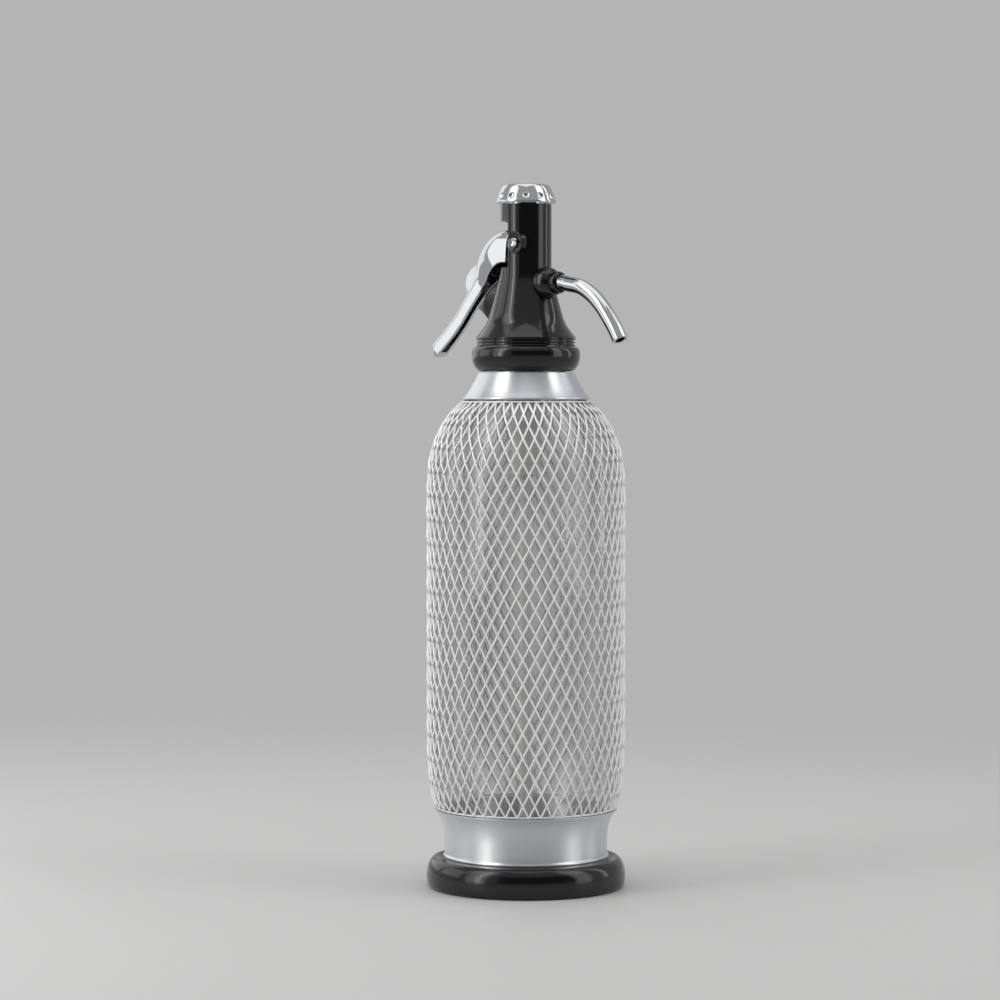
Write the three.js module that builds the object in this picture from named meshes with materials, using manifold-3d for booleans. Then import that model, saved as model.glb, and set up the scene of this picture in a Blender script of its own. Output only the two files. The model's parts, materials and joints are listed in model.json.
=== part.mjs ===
// Soda siphon: a mesh-covered glass bottle with a lever head, a curved spout and a charger holder.
// Millimetres, +Z up. The origin is the centre of the foot's underside.
// The spout points along +X, the lever along -X, and the charger holder between -X and +Y.

import * as THREE from 'three';
import { mergeVertices } from 'three/addons/utils/BufferGeometryUtils.js';
import Module from 'manifold-3d';

const wasm = await Module();
wasm.setup();

// Clearances and fineness
const clearance = 0.3;
const overrun = 2;
const wideSides = 30;
const midSides = 24;
const smallSides = 16;
const degree = Math.PI / 180;

// Rubber foot, under and around the metal cup
const footWall = 9.4;
const footLip = 5.5;
const footHeight = 15.4;
const footFloor = 3;
const footDish = 1.4;

// Polished metal base cup
const cupWaistRadius = 42.5;
const cupRimRadius = 47.8;
const cupHeight = 37.5;
const cupWall = 1;
const cupBeadDepth = 0.9;
const padRadius = 30;
const padThickness = 1.6;

// Glass bottle and the wire mesh round it
const sleeveRadius = 52.1;
const sleeveFoot = 47.8;
const sleeveMouth = 34;
const sleeveHeight = 212.4;
const sleeveWall = 1;
const sleeveWire = 1.4;
const sleeveColumns = 20;
const glassWall = 3.5;
const glassFloor = 5;
const glassNeckRadius = 18.5;
const glassNeckWall = 2.9;
const glassNeckHeight = 13;

// Flared metal neck shroud and the threaded ring clamped round the glass neck
const shroudHeight = 14.2;
const shroudTopRadius = 25.1;
const shroudWall = 1;
const shroudStep = 0.4;
const neckRingWall = 1.8;
const neckRingHeight = 12;
const gasketThickness = 1.5;

// Measuring tube hung in the bottle's neck, and the riser tube through it
const measureRadius = 7.6;
const measureWall = 0.8;
const measureLength = 65;
const flangeThickness = 1.3;
const flangePorts = 4;
const flangePortRadius = 2;
const riserRadius = 3.3;
const riserWall = 1;
const riserGap = 6.6;
const riserInsert = 14;

// Collar, grooved band and threaded socket of the head
const socketWall = 1.8;
const socketWeb = 3.5;
const socketSkirt = 11.3;
const collarRadius = 28.1;
const collarEdgeRadius = 23.7;
const collarHeight = 12.6;
const bandRadius = 26;
const bandHeight = 4.1;
const grooveDepth = 1;
const grooveHeight = 0.8;

// Black head cover: a concave skirt that runs up into a column
const skirtRadius = 26.3;
const columnRadius = 13.3;
const skirtHeight = 36.3;
const columnHeight = 33;
const coverWall = 2.3;
const slotHeight = 23.6;
const slotRise = 0.6;

// Chrome cap on the column
const capRadius = 15.6;
const capTaper = 4.6;
const hollowRadius = 3.2;
const hollowDepth = 1;
const hollowInset = 1.1;
const hollowRise = 4.8;
const hollowSides = 6;
const capHeight = 10.1;
const capSpigot = 6.5;
const capFacets = 12;

// Lever, its pivot and its travel
const hingeOffset = 5;
const hingeRise = 49.1;
const hingeBossRadius = 5.85;
const hingeBossReach = 13.9;
const pinRadius = 2.4;
const pinStandOut = 0.5;
const leverReach = 75;
const leverDrop = 60;
const leverWidth = 12.9;
const leverDepth = 12.5;
const leverCheek = 7.5;
const leverWall = 1.6;
const hoodSquareness = 0.7;
const hoodFade = 6;
const leverArcSteps = 8;
const shellSteps = 18;
const channelSteps = 15;
const tongueWidth = 8;
const tongueRing = 4.8;
const tongueRun = 16;

// Valve inside the head
const blockRadius = 10.2;
const blockShankRadius = 6.3;
const blockShankDrop = 10;
const blockDiscHeight = 3;
const blockHeight = 36.5;
const chamberRadius = 5.5;
const chamberRise = 8;
const chamberHeight = 12.6;
const seatThickness = 2;
const outletHeight = 9;
const stemRadius = 1.6;
const stemBore = 0.4;
const plugRadius = 4.4;
const plugHeight = 5;
const springTurns = 5;
const springRadius = 4.3;
const springWire = 0.9;
const springSteps = 8;
const sealThickness = 2;

// Spout
const ballRadius = 8.4;
const ballOffset = 15;
const ballRise = 28.2;
const nutRadius = 5.7;
const nutLength = 3.4;
const nutEdge = 0.8;
const spoutRadius = 4;
const spoutBore = 2.6;
const spoutReach = 67.4;
const spoutDrop = 30.2;
const spoutSteps = 20;
const spoutSides = 12;

// Charger holder: its axis leaves the head sideways and upward
const holderTurn = 27.5;
const holderLift = 20;
const holderSideways = 6.4;
const holderRise = 6.8;
const stubRadius = 6.2;
const stubBore = 4.8;
const stubEnd = 26;
const stubFloor = 15;
const noseRadius = 8;
const noseStart = 20;
const noseEnd = 29.5;
const sleeveStart = 37.5;
const holderRadius = 12.9;
const holderBore = 9.7;
const domeStart = 57;
const domeRadius = 13.4;
const domeWall = 1.6;
const domeCentre = 69;
const domeJoint = 5;
const chargerRadius = 9.3;
const chargerNeckRadius = 4.4;
const chargerNeck = 9;
const chargerLength = 64.5;
const chargerTip = 16;
const piercerRadius = 1.1;
const piercerBore = 0.4;
const piercerReach = 3;

// Materials
function finish(colour, roughness, metalness) {
  return new THREE.MeshStandardMaterial({ color: colour, roughness, metalness });
}
const blackGloss = () => finish('#17181a', 0.28, 0);
const rubber = (colour) => finish(colour, 0.75, 0);
const chrome = () => finish('#e8e8ea', 0.08, 1);
const steel = (colour) => finish(colour, 0.3, 1);
const brass = () => finish('#b98f4a', 0.35, 1);
const clearGlass = () => new THREE.MeshStandardMaterial({
  color: '#dfe9ea', roughness: 0.05, metalness: 0, transparent: true, opacity: 0.35,
});
const siliconeRubber = () => rubber('#c9c4b8');

// A closed solid from any closed geometry, whichever way its faces were wound
function solid(geometry) {
  let shape = geometry.index ? geometry.toNonIndexed() : geometry.clone();
  shape.deleteAttribute('normal');
  shape.deleteAttribute('uv');
  shape = mergeVertices(shape);
  const position = shape.attributes.position;
  const index = shape.index.array;
  const triangles = [];
  let volume = 0;
  const a = new THREE.Vector3();
  const b = new THREE.Vector3();
  const c = new THREE.Vector3();
  for (let i = 0; i < index.length; i += 3) {
    const [p, q, r] = [index[i], index[i + 1], index[i + 2]];
    if (p === q || q === r || r === p) continue;
    triangles.push(p, q, r);
    a.fromBufferAttribute(position, p);
    b.fromBufferAttribute(position, q);
    c.fromBufferAttribute(position, r);
    volume += a.dot(b.cross(c));
  }
  if (volume < 0) triangles.reverse();
  return new wasm.Manifold(new wasm.Mesh({
    numProp: 3,
    vertProperties: new Float32Array(position.array),
    triVerts: new Uint32Array(triangles),
  }));
}

// A drawable geometry from a solid
function surface(body) {
  const mesh = body.getMesh();
  const geometry = new THREE.BufferGeometry();
  geometry.setAttribute('position', new THREE.BufferAttribute(mesh.vertProperties, 3));
  geometry.setIndex(new THREE.BufferAttribute(mesh.triVerts, 1));
  geometry.computeVertexNormals();
  return geometry;
}

function part(name, body, material) {
  const mesh = new THREE.Mesh(surface(body), material);
  mesh.name = name;
  return mesh;
}

// A body turned round the Z axis from a profile of [radius, height] points
function turned(profile, sides) {
  const points = profile.map(([radius, height]) => new THREE.Vector2(radius, height));
  const [first] = points;
  const last = points[points.length - 1];
  const open = first.x !== 0 || last.x !== 0;
  if (open) points.push(first.clone());
  const geometry = new THREE.LatheGeometry(points, sides);
  geometry.rotateX(Math.PI / 2);
  return solid(geometry);
}

function rod(radius, bottom, top, sides) {
  return turned([[0, bottom], [radius, bottom], [radius, top], [0, top]], sides);
}

function tube(outer, inner, bottom, top, sides) {
  return turned([[inner, bottom], [outer, bottom], [outer, top], [inner, top]], sides);
}

function block(minimum, maximum) {
  const geometry = new THREE.BoxGeometry(
    maximum[0] - minimum[0], maximum[1] - minimum[1], maximum[2] - minimum[2],
  );
  geometry.translate(
    (minimum[0] + maximum[0]) / 2, (minimum[1] + maximum[1]) / 2, (minimum[2] + maximum[2]) / 2,
  );
  return solid(geometry);
}

// Heights that the stacked pieces share
const cupBottom = footFloor + clearance;
const cupTop = cupBottom + cupHeight;
const sleeveBottom = cupTop + clearance;
const sleeveTop = sleeveBottom + sleeveHeight;
const shroudBottom = sleeveTop + 2 * clearance;
const shroudTop = shroudBottom + shroudHeight;
const padBottom = cupBottom + cupWall + clearance;
const glassBottom = padBottom + padThickness + clearance;
const neckStart = shroudTop - shroudHeight / 3;
const glassTop = neckStart + glassNeckHeight;
const flangeBottom = glassTop + clearance + gasketThickness + clearance;
const webBottom = flangeBottom + flangeThickness + clearance;
const webTop = webBottom + socketWeb;
const collarBottom = shroudTop + 2 * clearance;
const collarTop = collarBottom + collarHeight;
const bandBottom = collarTop + clearance;
const bandTop = bandBottom + bandHeight;
const coverBottom = bandTop + clearance;
const columnBottom = coverBottom + skirtHeight;
const coverTop = columnBottom + columnHeight;
const slotBottom = columnBottom + slotRise;
const slotTop = slotBottom + slotHeight;
const capBottom = coverTop + clearance;
const hingeHeight = coverBottom + hingeRise;
const ballHeight = coverBottom + ballRise;
const discBottom = webTop + clearance;
const blockTop = discBottom + blockDiscHeight + blockHeight;
const chamberBottom = discBottom + blockDiscHeight + chamberRise;
const chamberTop = chamberBottom + chamberHeight;
const seatTop = chamberTop + clearance + seatThickness;
const stemTop = hingeHeight - tongueRing - clearance;

// Radii that nested pieces share
const footRadius = cupWaistRadius + footWall;
const footLipRadius = cupWaistRadius + footLip;
const neckRingInner = glassNeckRadius + clearance;
const neckRingOuter = neckRingInner + neckRingWall;
const socketInner = neckRingOuter + clearance;
const socketOuter = socketInner + socketWall;
const collarInner = socketOuter + clearance;
const measureBore = measureRadius - measureWall;

// Wire mesh: the levels where its wires cross, as shares of its height and of its swell from
// the edge radius below or above to the widest radius
const meshShares = [
  [0, 0], [0.045, 0.58], [0.13, 0.95], [0.24, 1], [0.35, 1], [0.46, 1], [0.57, 1], [0.68, 1],
  [0.78, 1], [0.86, 0.93], [0.92, 0.7], [0.965, 0.4], [1, 0],
];
const meshOutline = meshShares.map(([rise, swell], i) => {
  const edge = i < meshShares.length / 2 ? sleeveFoot : sleeveMouth;
  return [sleeveBottom + rise * sleeveHeight, edge + swell * (sleeveRadius - edge)];
});
const glassOutline = meshOutline.map(([level, radius]) => [level, radius - sleeveWall - clearance]);

// Base cup: outer radius against height, as shares of its height and of its flare
const cupShares = [
  [0, 0], [0.43, 0], [0.66, 0.02], [0.8, 0.22], [0.91, 0.56], [1, 1],
];
const cupOutline = cupShares.map(([rise, flare]) => [
  cupBottom + rise * cupHeight, cupWaistRadius + flare * (cupRimRadius - cupWaistRadius),
]);

// Rubber foot's side: shares of its swell beyond the lip, and of its height
const footShares = [[1, 0.25], [1, 0.5], [0.5, 0.9], [0, 1]];

function footBoot() {
  const bore = cupWaistRadius + clearance;
  const base = footRadius - footDish;
  const dishTop = footHeight - footDish / 2;
  const profile = [
    [0, 0],
    [base, 0],
    ...footShares.map(([swell, rise]) => [
      footLipRadius + swell * (footRadius - footLipRadius), footHeight * rise,
    ]),
    [(footLipRadius + bore) / 2, dishTop],
    [bore, dishTop - footDish],
    [bore, footFloor],
    [0, footFloor],
  ];
  return part('foot_boot', turned(profile, wideSides), rubber('#1f2022'));
}

function baseCup() {
  const outer = cupOutline.map(([level, radius]) => [radius, level]);
  const beadLow = footHeight + clearance;
  outer.splice(
    1, 0,
    [cupWaistRadius, beadLow],
    [cupWaistRadius + cupBeadDepth, beadLow + cupBeadDepth],
    [cupWaistRadius, beadLow + 2 * cupBeadDepth],
  );
  const inner = cupOutline.map(([level, radius]) => [radius - cupWall, level]);
  inner[0][1] = cupBottom + cupWall;
  const profile = [[0, cupBottom], ...outer, ...inner.reverse(), [0, cupBottom + cupWall]];
  return part('base_cup', turned(profile, wideSides), steel('#b9bbbd'));
}

function basePad() {
  const pad = rod(padRadius, padBottom, padBottom + padThickness, midSides);
  return part('base_pad', pad, rubber('#3a3a3a'));
}

// Inside of the bottle's domed bottom: shares of the foot's inner radius and of the floor
const puntShares = [[0, 1.6], [0.62, 1.2], [0.91, 1], [1, 2.2]];
const puntEdgeShares = [1 / 3, 1.5];

function glassBottle() {
  const foot = cupWaistRadius - cupWall - clearance;
  const [bevelShare, edgeShare] = puntEdgeShares;
  const outer = [
    [0, glassBottom],
    [padRadius, glassBottom],
    [foot - glassWall, glassBottom + glassFloor * bevelShare],
    [foot, glassBottom + glassFloor * edgeShare],
  ];
  for (const [level, radius] of cupOutline.slice(2, -1)) {
    outer.push([radius - cupWall - clearance, level]);
  }
  const inner = puntShares.map(([run, rise]) => [
    run * (foot - glassWall), glassBottom + rise * glassFloor,
  ]);
  inner.push([foot - glassWall, cupOutline[2][0]]);
  glassOutline.forEach(([level, radius], i) => {
    outer.push([radius, level]);
    if (i % 2 === 1) inner.push([radius - glassWall, level]);
  });
  const shoulder = (glassOutline[glassOutline.length - 1][1] + glassNeckRadius) / 2;
  const throat = glassNeckRadius - glassNeckWall;
  outer.push([shoulder, (neckStart + sleeveTop) / 2], [glassNeckRadius, neckStart]);
  outer.push([glassNeckRadius, glassTop], [throat, glassTop]);
  inner.push([throat, neckStart]);
  const profile = [...outer, ...inner.reverse()];
  return part('glass_bottle', turned(profile, wideSides), clearGlass());
}

// The diamond wire mesh: every opening is a tile whose frame is half a wire wide on each side.
// A wire has four faces, with one edge outward, one inward and one on each opening.
function wireMeshSleeve() {
  const tileWidth = Math.PI * sleeveRadius / sleeveColumns;
  const levels = meshOutline.length - 1;
  const tileHeight = sleeveHeight / levels;
  const frameDepth = tileWidth * tileHeight / Math.hypot(tileWidth, tileHeight);
  const holeShare = 1 - sleeveWire / 2 / frameDepth;
  const positions = [];
  const place = (column, level, inset) => {
    const angle = 2 * Math.PI * column / (2 * sleeveColumns);
    const [height, outer] = meshOutline[level];
    const radius = outer - inset;
    return [radius * Math.cos(angle), radius * Math.sin(angle), height];
  };
  const blend = (from, to) => from.map((value, i) => from[i] + (to[i] - from[i]) * holeShare);
  const quad = (a, b, c, d) => positions.push(...a, ...b, ...c, ...a, ...c, ...d);
  const tile = (corners) => {
    const [front, core, back] = [0, sleeveWall / 2, sleeveWall].map((inset) => (
      corners.map(([column, level]) => place(column, level, inset))
    ));
    const middle = core[0].map((_, i) => (
      core.reduce((sum, point) => sum + point[i], 0) / core.length
    ));
    const hole = core.map((point) => blend(middle, point));
    corners.forEach((_, i) => {
      const next = (i + 1) % corners.length;
      quad(front[i], front[next], hole[next], hole[i]);
      quad(back[next], back[i], hole[i], hole[next]);
      const onRim = corners[i][1] === corners[next][1];
      if (onRim) quad(front[next], front[i], back[i], back[next]);
    });
  };
  for (let level = 0; level <= levels; level += 1) {
    for (let column = level % 2; column < 2 * sleeveColumns; column += 2) {
      const below = [column, Math.max(level - 1, 0)];
      const above = [column, Math.min(level + 1, levels)];
      tile([[column - 1, level], below, [column + 1, level], above]);
    }
  }
  const geometry = new THREE.BufferGeometry();
  geometry.setAttribute('position', new THREE.Float32BufferAttribute(positions, 3));
  return part('wire_mesh_sleeve', solid(geometry), steel('#cfcfcf'));
}

// Concave flare from the mesh up to the collar, as shares of height and of narrowing
const shroudShares = [[0, 0], [0.3, 0.36], [0.64, 0.7], [1, 1]];

function neckShroud() {
  const mouth = sleeveMouth - shroudStep;
  const outer = shroudShares.map(([rise, narrowing]) => [
    mouth - narrowing * (mouth - shroudTopRadius), shroudBottom + rise * shroudHeight,
  ]);
  const inner = outer.map(([radius, level]) => [radius - shroudWall, level]);
  return part('neck_shroud', turned([...outer, ...inner.reverse()], wideSides), steel('#cdd3da'));
}

function neckRing() {
  const bottom = glassTop - clearance - neckRingHeight;
  const ring = tube(neckRingOuter, neckRingInner, bottom, glassTop - clearance, midSides);
  return part('neck_ring', ring, steel('#a9adb0'));
}

function mouthGasket() {
  const bottom = glassTop + clearance;
  const inner = glassNeckRadius - glassNeckWall;
  const ring = tube(glassNeckRadius, inner, bottom, bottom + gasketThickness, midSides);
  return part('mouth_gasket', ring, siliconeRubber());
}

function measuringTube() {
  const top = flangeBottom + flangeThickness;
  const profile = [
    [measureBore, top - measureLength],
    [measureRadius, top - measureLength],
    [measureRadius, flangeBottom],
    [neckRingOuter, flangeBottom],
    [neckRingOuter, top],
    [measureBore, top],
  ];
  let body = turned(profile, smallSides);
  const portCircle = (measureRadius + glassNeckRadius - glassNeckWall) / 2;
  for (let i = 0; i < flangePorts; i += 1) {
    const port = rod(flangePortRadius, flangeBottom - overrun, top + overrun, smallSides / 2);
    const angle = 2 * Math.PI * i / flangePorts;
    body = body.subtract(port.translate([
      portCircle * Math.cos(angle), portCircle * Math.sin(angle), 0,
    ]));
  }
  return part('measuring_tube', body, finish('#e9e6dd', 0.4, 0));
}

function riserTube() {
  const bottom = glassBottom + glassFloor + riserGap;
  const top = discBottom + riserInsert / 2;
  const body = tube(riserRadius, riserRadius - riserWall, bottom, top, smallSides);
  return part('riser_tube', body, finish('#f0efe9', 0.3, 0));
}

function headSocket() {
  const profile = [
    [socketInner, webBottom - socketSkirt],
    [socketOuter, webBottom - socketSkirt],
    [socketOuter, bandTop],
    [socketInner, bandTop],
    [socketInner, webTop],
    [blockShankRadius + clearance, webTop],
    [blockShankRadius + clearance, webBottom],
    [socketInner, webBottom],
  ];
  return part('head_socket', turned(profile, midSides), steel('#9fa3a6'));
}

// Bulging ring: its outline is a circular swell between the two edges
function collarRing() {
  const swellSteps = 6;
  const topEdge = bandRadius;
  const profile = [[collarInner, collarBottom]];
  for (let i = 0; i <= swellSteps; i += 1) {
    const share = i / swellSteps;
    const edge = collarEdgeRadius + share * (topEdge - collarEdgeRadius);
    const swell = Math.sqrt(1 - (2 * share - 1) ** 2);
    const middle = (collarEdgeRadius + topEdge) / 2;
    profile.push([edge + swell * (collarRadius - middle), collarBottom + share * collarHeight]);
  }
  profile.push([collarInner, collarTop]);
  return part('collar_ring', turned(profile, wideSides), blackGloss());
}

function groovedBand() {
  const groove = bandRadius - grooveDepth;
  const profile = [[collarInner, bandBottom], [bandRadius, bandBottom]];
  const land = (bandHeight - 2 * grooveHeight) / 3;
  for (let i = 1; i <= 2; i += 1) {
    const low = bandBottom + i * land + (i - 1) * grooveHeight;
    profile.push([bandRadius, low], [groove, low]);
    profile.push([groove, low + grooveHeight], [bandRadius, low + grooveHeight]);
  }
  profile.push([bandRadius, bandTop], [collarInner, bandTop]);
  return part('grooved_band', turned(profile, wideSides), blackGloss());
}

// Concave skirt of the head cover, as shares of its height and of its narrowing
const skirtShares = [[0, 0], [0.1, 0.23], [0.25, 0.485], [0.5, 0.69], [0.83, 0.923], [1, 1]];
const skirtOutline = skirtShares.map(([rise, narrowing]) => [
  coverBottom + rise * skirtHeight, skirtRadius - narrowing * (skirtRadius - columnRadius),
]);

// A solid along the charger holder's own axis, moved to its place on the head
function alongHolder(body) {
  const axis = holderDirection();
  const turn = new THREE.Quaternion().setFromUnitVectors(new THREE.Vector3(0, 0, 1), axis);
  const place = new THREE.Matrix4().makeRotationFromQuaternion(turn).setPosition(holderBase());
  return body.transform(place.toArray());
}

function holderDirection() {
  return new THREE.Vector3(
    -Math.cos(holderTurn * degree) * Math.cos(holderLift * degree),
    Math.sin(holderTurn * degree) * Math.cos(holderLift * degree),
    Math.sin(holderLift * degree),
  );
}

function holderBase() {
  return new THREE.Vector3(-holderSideways, holderSideways, coverBottom + holderRise);
}

function headCover() {
  const outer = skirtOutline.map(([level, radius]) => [radius, level]);
  const inner = skirtOutline.map(([level, radius]) => [radius - coverWall, level]);
  outer.push([columnRadius, coverTop]);
  inner.push([columnRadius - coverWall, coverTop]);
  let body = turned([...outer, ...inner.reverse()], midSides);
  const reach = columnRadius + overrun;
  body = body.subtract(block([-reach, -reach, slotBottom], [0, reach, slotTop]));
  const boreInner = columnRadius - coverWall;
  const boss = rod(hingeBossRadius, boreInner, hingeBossReach, midSides);
  body = body.add(boss.rotate([90, 0, 0]).translate([hingeOffset, 0, hingeHeight]));
  const pinHole = rod(pinRadius + clearance, -reach, reach, smallSides);
  body = body.subtract(pinHole.rotate([90, 0, 0]).translate([hingeOffset, 0, hingeHeight]));
  const spoutHole = rod(spoutRadius + clearance, 0, ballOffset + ballRadius, smallSides);
  body = body.subtract(spoutHole.rotate([0, 90, 0]).translate([0, 0, ballHeight]));
  const stubHole = rod(stubRadius + clearance, 0, sleeveStart, smallSides);
  body = body.subtract(alongHolder(stubHole));
  return part('head_cover', body, blackGloss());
}

// Chrome cap: a tapered drum with shallow facets, a rounded top edge and a spigot below
// Shares of the cap's taper and of its height, from its lower edge to its top
const capShares = [[0.08, 0], [0, 0.1], [0.45, 0.84], [0.65, 0.95], [1, 1], [capRadius / capTaper, 1]];

function topCap() {
  const profile = [
    [0, capBottom - capSpigot],
    [columnRadius - coverWall - clearance, capBottom - capSpigot],
    [columnRadius - coverWall - clearance, capBottom],
    ...capShares.map(([run, rise]) => [capRadius - capTaper * run, capBottom + capHeight * rise]),
  ];
  let body = turned(profile, 2 * capFacets);
  for (let i = 0; i < capFacets; i += 1) {
    const geometry = new THREE.SphereGeometry(hollowRadius, hollowSides, hollowSides);
    const angle = 2 * Math.PI * (i + 0.5) / capFacets;
    const reach = capRadius - hollowInset + hollowRadius - hollowDepth;
    geometry.translate(reach * Math.cos(angle), reach * Math.sin(angle), capBottom + hollowRise);
    body = body.subtract(solid(geometry));
  }
  return part('top_cap', body, chrome());
}

function hingePin() {
  const bossEnd = hingeBossReach + pinStandOut;
  const plainEnd = -Math.sqrt(columnRadius ** 2 - (hingeOffset + pinRadius) ** 2);
  const chamfer = pinStandOut;
  const profile = [
    [0, plainEnd],
    [pinRadius - chamfer, plainEnd],
    [pinRadius, plainEnd + chamfer],
    [pinRadius, bossEnd - chamfer],
    [pinRadius - chamfer, bossEnd],
    [0, bossEnd],
  ];
  const mesh = part('hinge_pin', turned(profile, smallSides).rotate([90, 0, 0]), chrome());
  mesh.position.set(hingeOffset, 0, hingeHeight);
  return mesh;
}

// Lever stations: share of reach and of drop from the hinge, lean of the back from upright in
// degrees, then shares of the width, of the depth above the centre and of the cheeks below it
const leverShares = [
  [0.093, 0.065, -4, 1, 0.912, 0.827],
  [0.19, 0.075, 12, 0.977, 0.94, 0.773],
  [0.295, 0.122, 32, 0.868, 0.896, 0.8],
  [0.384, 0.202, 48, 0.651, 0.808, 0.693],
  [0.461, 0.298, 54, 0.357, 0.6, 0.533],
  [0.541, 0.405, 54, 0.275, 0.448, 0.48],
  [0.629, 0.528, 51, 0.256, 0.384, 0.44],
  [0.715, 0.662, 48, 0.252, 0.4, 0.4],
  [0.817, 0.792, 46, 0.264, 0.432, 0.373],
  [0.917, 0.907, 45, 0.295, 0.48, 0.32],
];
const leverTipShares = [[0.936, 0.938, 45, 0.27, 0.43, 0.25], [0.96, 0.968, 45, 0.16, 0.26, 0.11]];

function leverSections(shares, steps, shrink, below) {
  const places = new THREE.CatmullRomCurve3(shares.map(([reach, drop, lean]) => (
    new THREE.Vector3(reach * leverReach, drop * leverDrop, lean * degree)
  )));
  const sizes = new THREE.CatmullRomCurve3(shares.map(([, , , width, depth, cheek]) => (
    new THREE.Vector3(width * leverWidth, depth * leverDepth, cheek * leverCheek)
  )));
  const rows = [];
  for (let i = 0; i <= steps; i += 1) {
    const place = places.getPoint(i / steps);
    const size = sizes.getPoint(i / steps);
    const squareness = 1 / (1 + hoodSquareness * Math.max(0, Math.cos(place.z)) ** hoodFade);
    const out = [-Math.sin(place.z), Math.cos(place.z)];
    const row = [];
    const point = (side, rise) => row.push([
      hingeOffset - place.x + rise * out[0], side, hingeHeight - place.y + rise * out[1],
    ]);
    const half = size.x - shrink;
    point(half, -size.z - below);
    for (let k = 0; k <= leverArcSteps; k += 1) {
      const angle = Math.PI * k / leverArcSteps;
      const side = Math.sign(Math.cos(angle)) * Math.abs(Math.cos(angle)) ** squareness;
      point(half * side, (size.y - shrink) * Math.sin(angle) ** squareness);
    }
    point(-half, -size.z - below);
    rows.push(row);
  }
  return rows;
}

// A closed solid through rows of points, with a flat end at each side
function lofted(rows) {
  const positions = [];
  const count = rows[0].length;
  const triangle = (a, b, c) => positions.push(...a, ...b, ...c);
  for (let i = 0; i < rows.length - 1; i += 1) {
    for (let k = 0; k < count; k += 1) {
      const next = (k + 1) % count;
      triangle(rows[i][k], rows[i][next], rows[i + 1][next]);
      triangle(rows[i][k], rows[i + 1][next], rows[i + 1][k]);
    }
  }
  for (const [row, flip] of [[rows[0], true], [rows[rows.length - 1], false]]) {
    for (let k = 1; k < count - 1; k += 1) {
      if (flip) triangle(row[0], row[k + 1], row[k]);
      else triangle(row[0], row[k], row[k + 1]);
    }
  }
  const geometry = new THREE.BufferGeometry();
  geometry.setAttribute('position', new THREE.Float32BufferAttribute(positions, 3));
  return solid(geometry);
}

// Half-pipe lever: a broad hood at the column, narrowing to an arm with a rounded tip
function lever() {
  const shell = lofted(leverSections([...leverShares, ...leverTipShares], shellSteps, 0, 0));
  const hollowRows = leverSections(leverShares, channelSteps, leverWall, overrun);
  const front = hollowRows[0].map(([x, y, z]) => [x + overrun, y, z]);
  const channel = lofted([front, ...hollowRows]);
  const back = hingeOffset + tongueRing;
  const low = hingeHeight - tongueRing;
  const web = block([-tongueRun, -tongueWidth / 2, low], [0, tongueWidth / 2, coverTop]);
  const hoodStart = hingeOffset - leverShares[0][0] * leverReach;
  const neck = block([hoodStart - overrun, -tongueWidth / 2, low], [
    hingeOffset, tongueWidth / 2, hingeHeight + tongueRing,
  ]);
  const ring = rod(back - hingeOffset, -tongueWidth / 2, tongueWidth / 2, midSides);
  const hole = rod(pinRadius + clearance, -tongueWidth, tongueWidth, smallSides);
  const atHinge = (body) => body.rotate([90, 0, 0]).translate([hingeOffset, 0, hingeHeight]);
  const body = shell.subtract(channel).add(web.intersect(shell)).add(neck).add(atHinge(ring));
  return part('lever', body.subtract(atHinge(hole)), chrome());
}

function valveBlock() {
  const riserBore = riserRadius + clearance;
  const profile = [
    [0, webBottom - blockShankDrop],
    [blockShankRadius, webBottom - blockShankDrop],
    [blockShankRadius, discBottom],
    [neckRingOuter, discBottom],
    [neckRingOuter, discBottom + blockDiscHeight],
    [blockRadius, discBottom + blockDiscHeight],
    [blockRadius, blockTop],
    [0, blockTop],
  ];
  const outletBottom = seatTop;
  const outletTop = outletBottom + outletHeight;
  const sealPocket = blockTop - sealThickness;
  let body = turned(profile, midSides);
  const cuts = [
    [riserBore, webBottom - blockShankDrop - overrun, discBottom + riserInsert / 2 + clearance],
    [riserRadius - riserWall, discBottom, chamberBottom + overrun],
    [chamberRadius, chamberBottom, outletTop],
    [stemRadius + stemBore, outletTop - overrun, blockTop + overrun],
    [chamberRadius, sealPocket, blockTop + overrun],
  ];
  for (const [radius, bottom, top] of cuts) {
    body = body.subtract(rod(radius, bottom, top, smallSides));
  }
  const outlet = rod(spoutBore, 0, blockRadius + overrun, smallSides);
  body = body.subtract(outlet.rotate([0, 90, 0]).translate([0, 0, ballHeight]));
  const gasWay = rod(piercerRadius, -holderSideways / 2, stubFloor, smallSides / 2);
  body = body.subtract(alongHolder(gasWay));
  return part('valve_block', body, brass());
}

function valveSeat() {
  const bottom = chamberTop + clearance;
  const outer = chamberRadius - clearance;
  const body = tube(outer, stemRadius * 1.8, bottom, seatTop, smallSides);
  return part('valve_seat', body, brass());
}

function stemSeal() {
  const bottom = blockTop - sealThickness + clearance;
  const outer = chamberRadius - clearance;
  const body = tube(outer, stemRadius + clearance, bottom, bottom + sealThickness, smallSides);
  return part('stem_seal', body, siliconeRubber());
}

const plugTop = chamberTop;
const plugBottom = plugTop - plugHeight;

function valveStem() {
  return part('valve_stem', rod(stemRadius, plugTop + clearance, stemTop, smallSides), steel('#c4c6c8'));
}

function valvePlug() {
  return part('valve_plug', rod(plugRadius, plugBottom, plugTop, smallSides), rubber('#2b2b2b'));
}

class Helix extends THREE.Curve {
  constructor(radius, bottom, height, turns) {
    super();
    Object.assign(this, { radius, bottom, height, turns });
  }

  getPoint(t, target = new THREE.Vector3()) {
    const angle = 2 * Math.PI * this.turns * t;
    return target.set(
      this.radius * Math.cos(angle), this.radius * Math.sin(angle), this.bottom + this.height * t,
    );
  }
}

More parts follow.
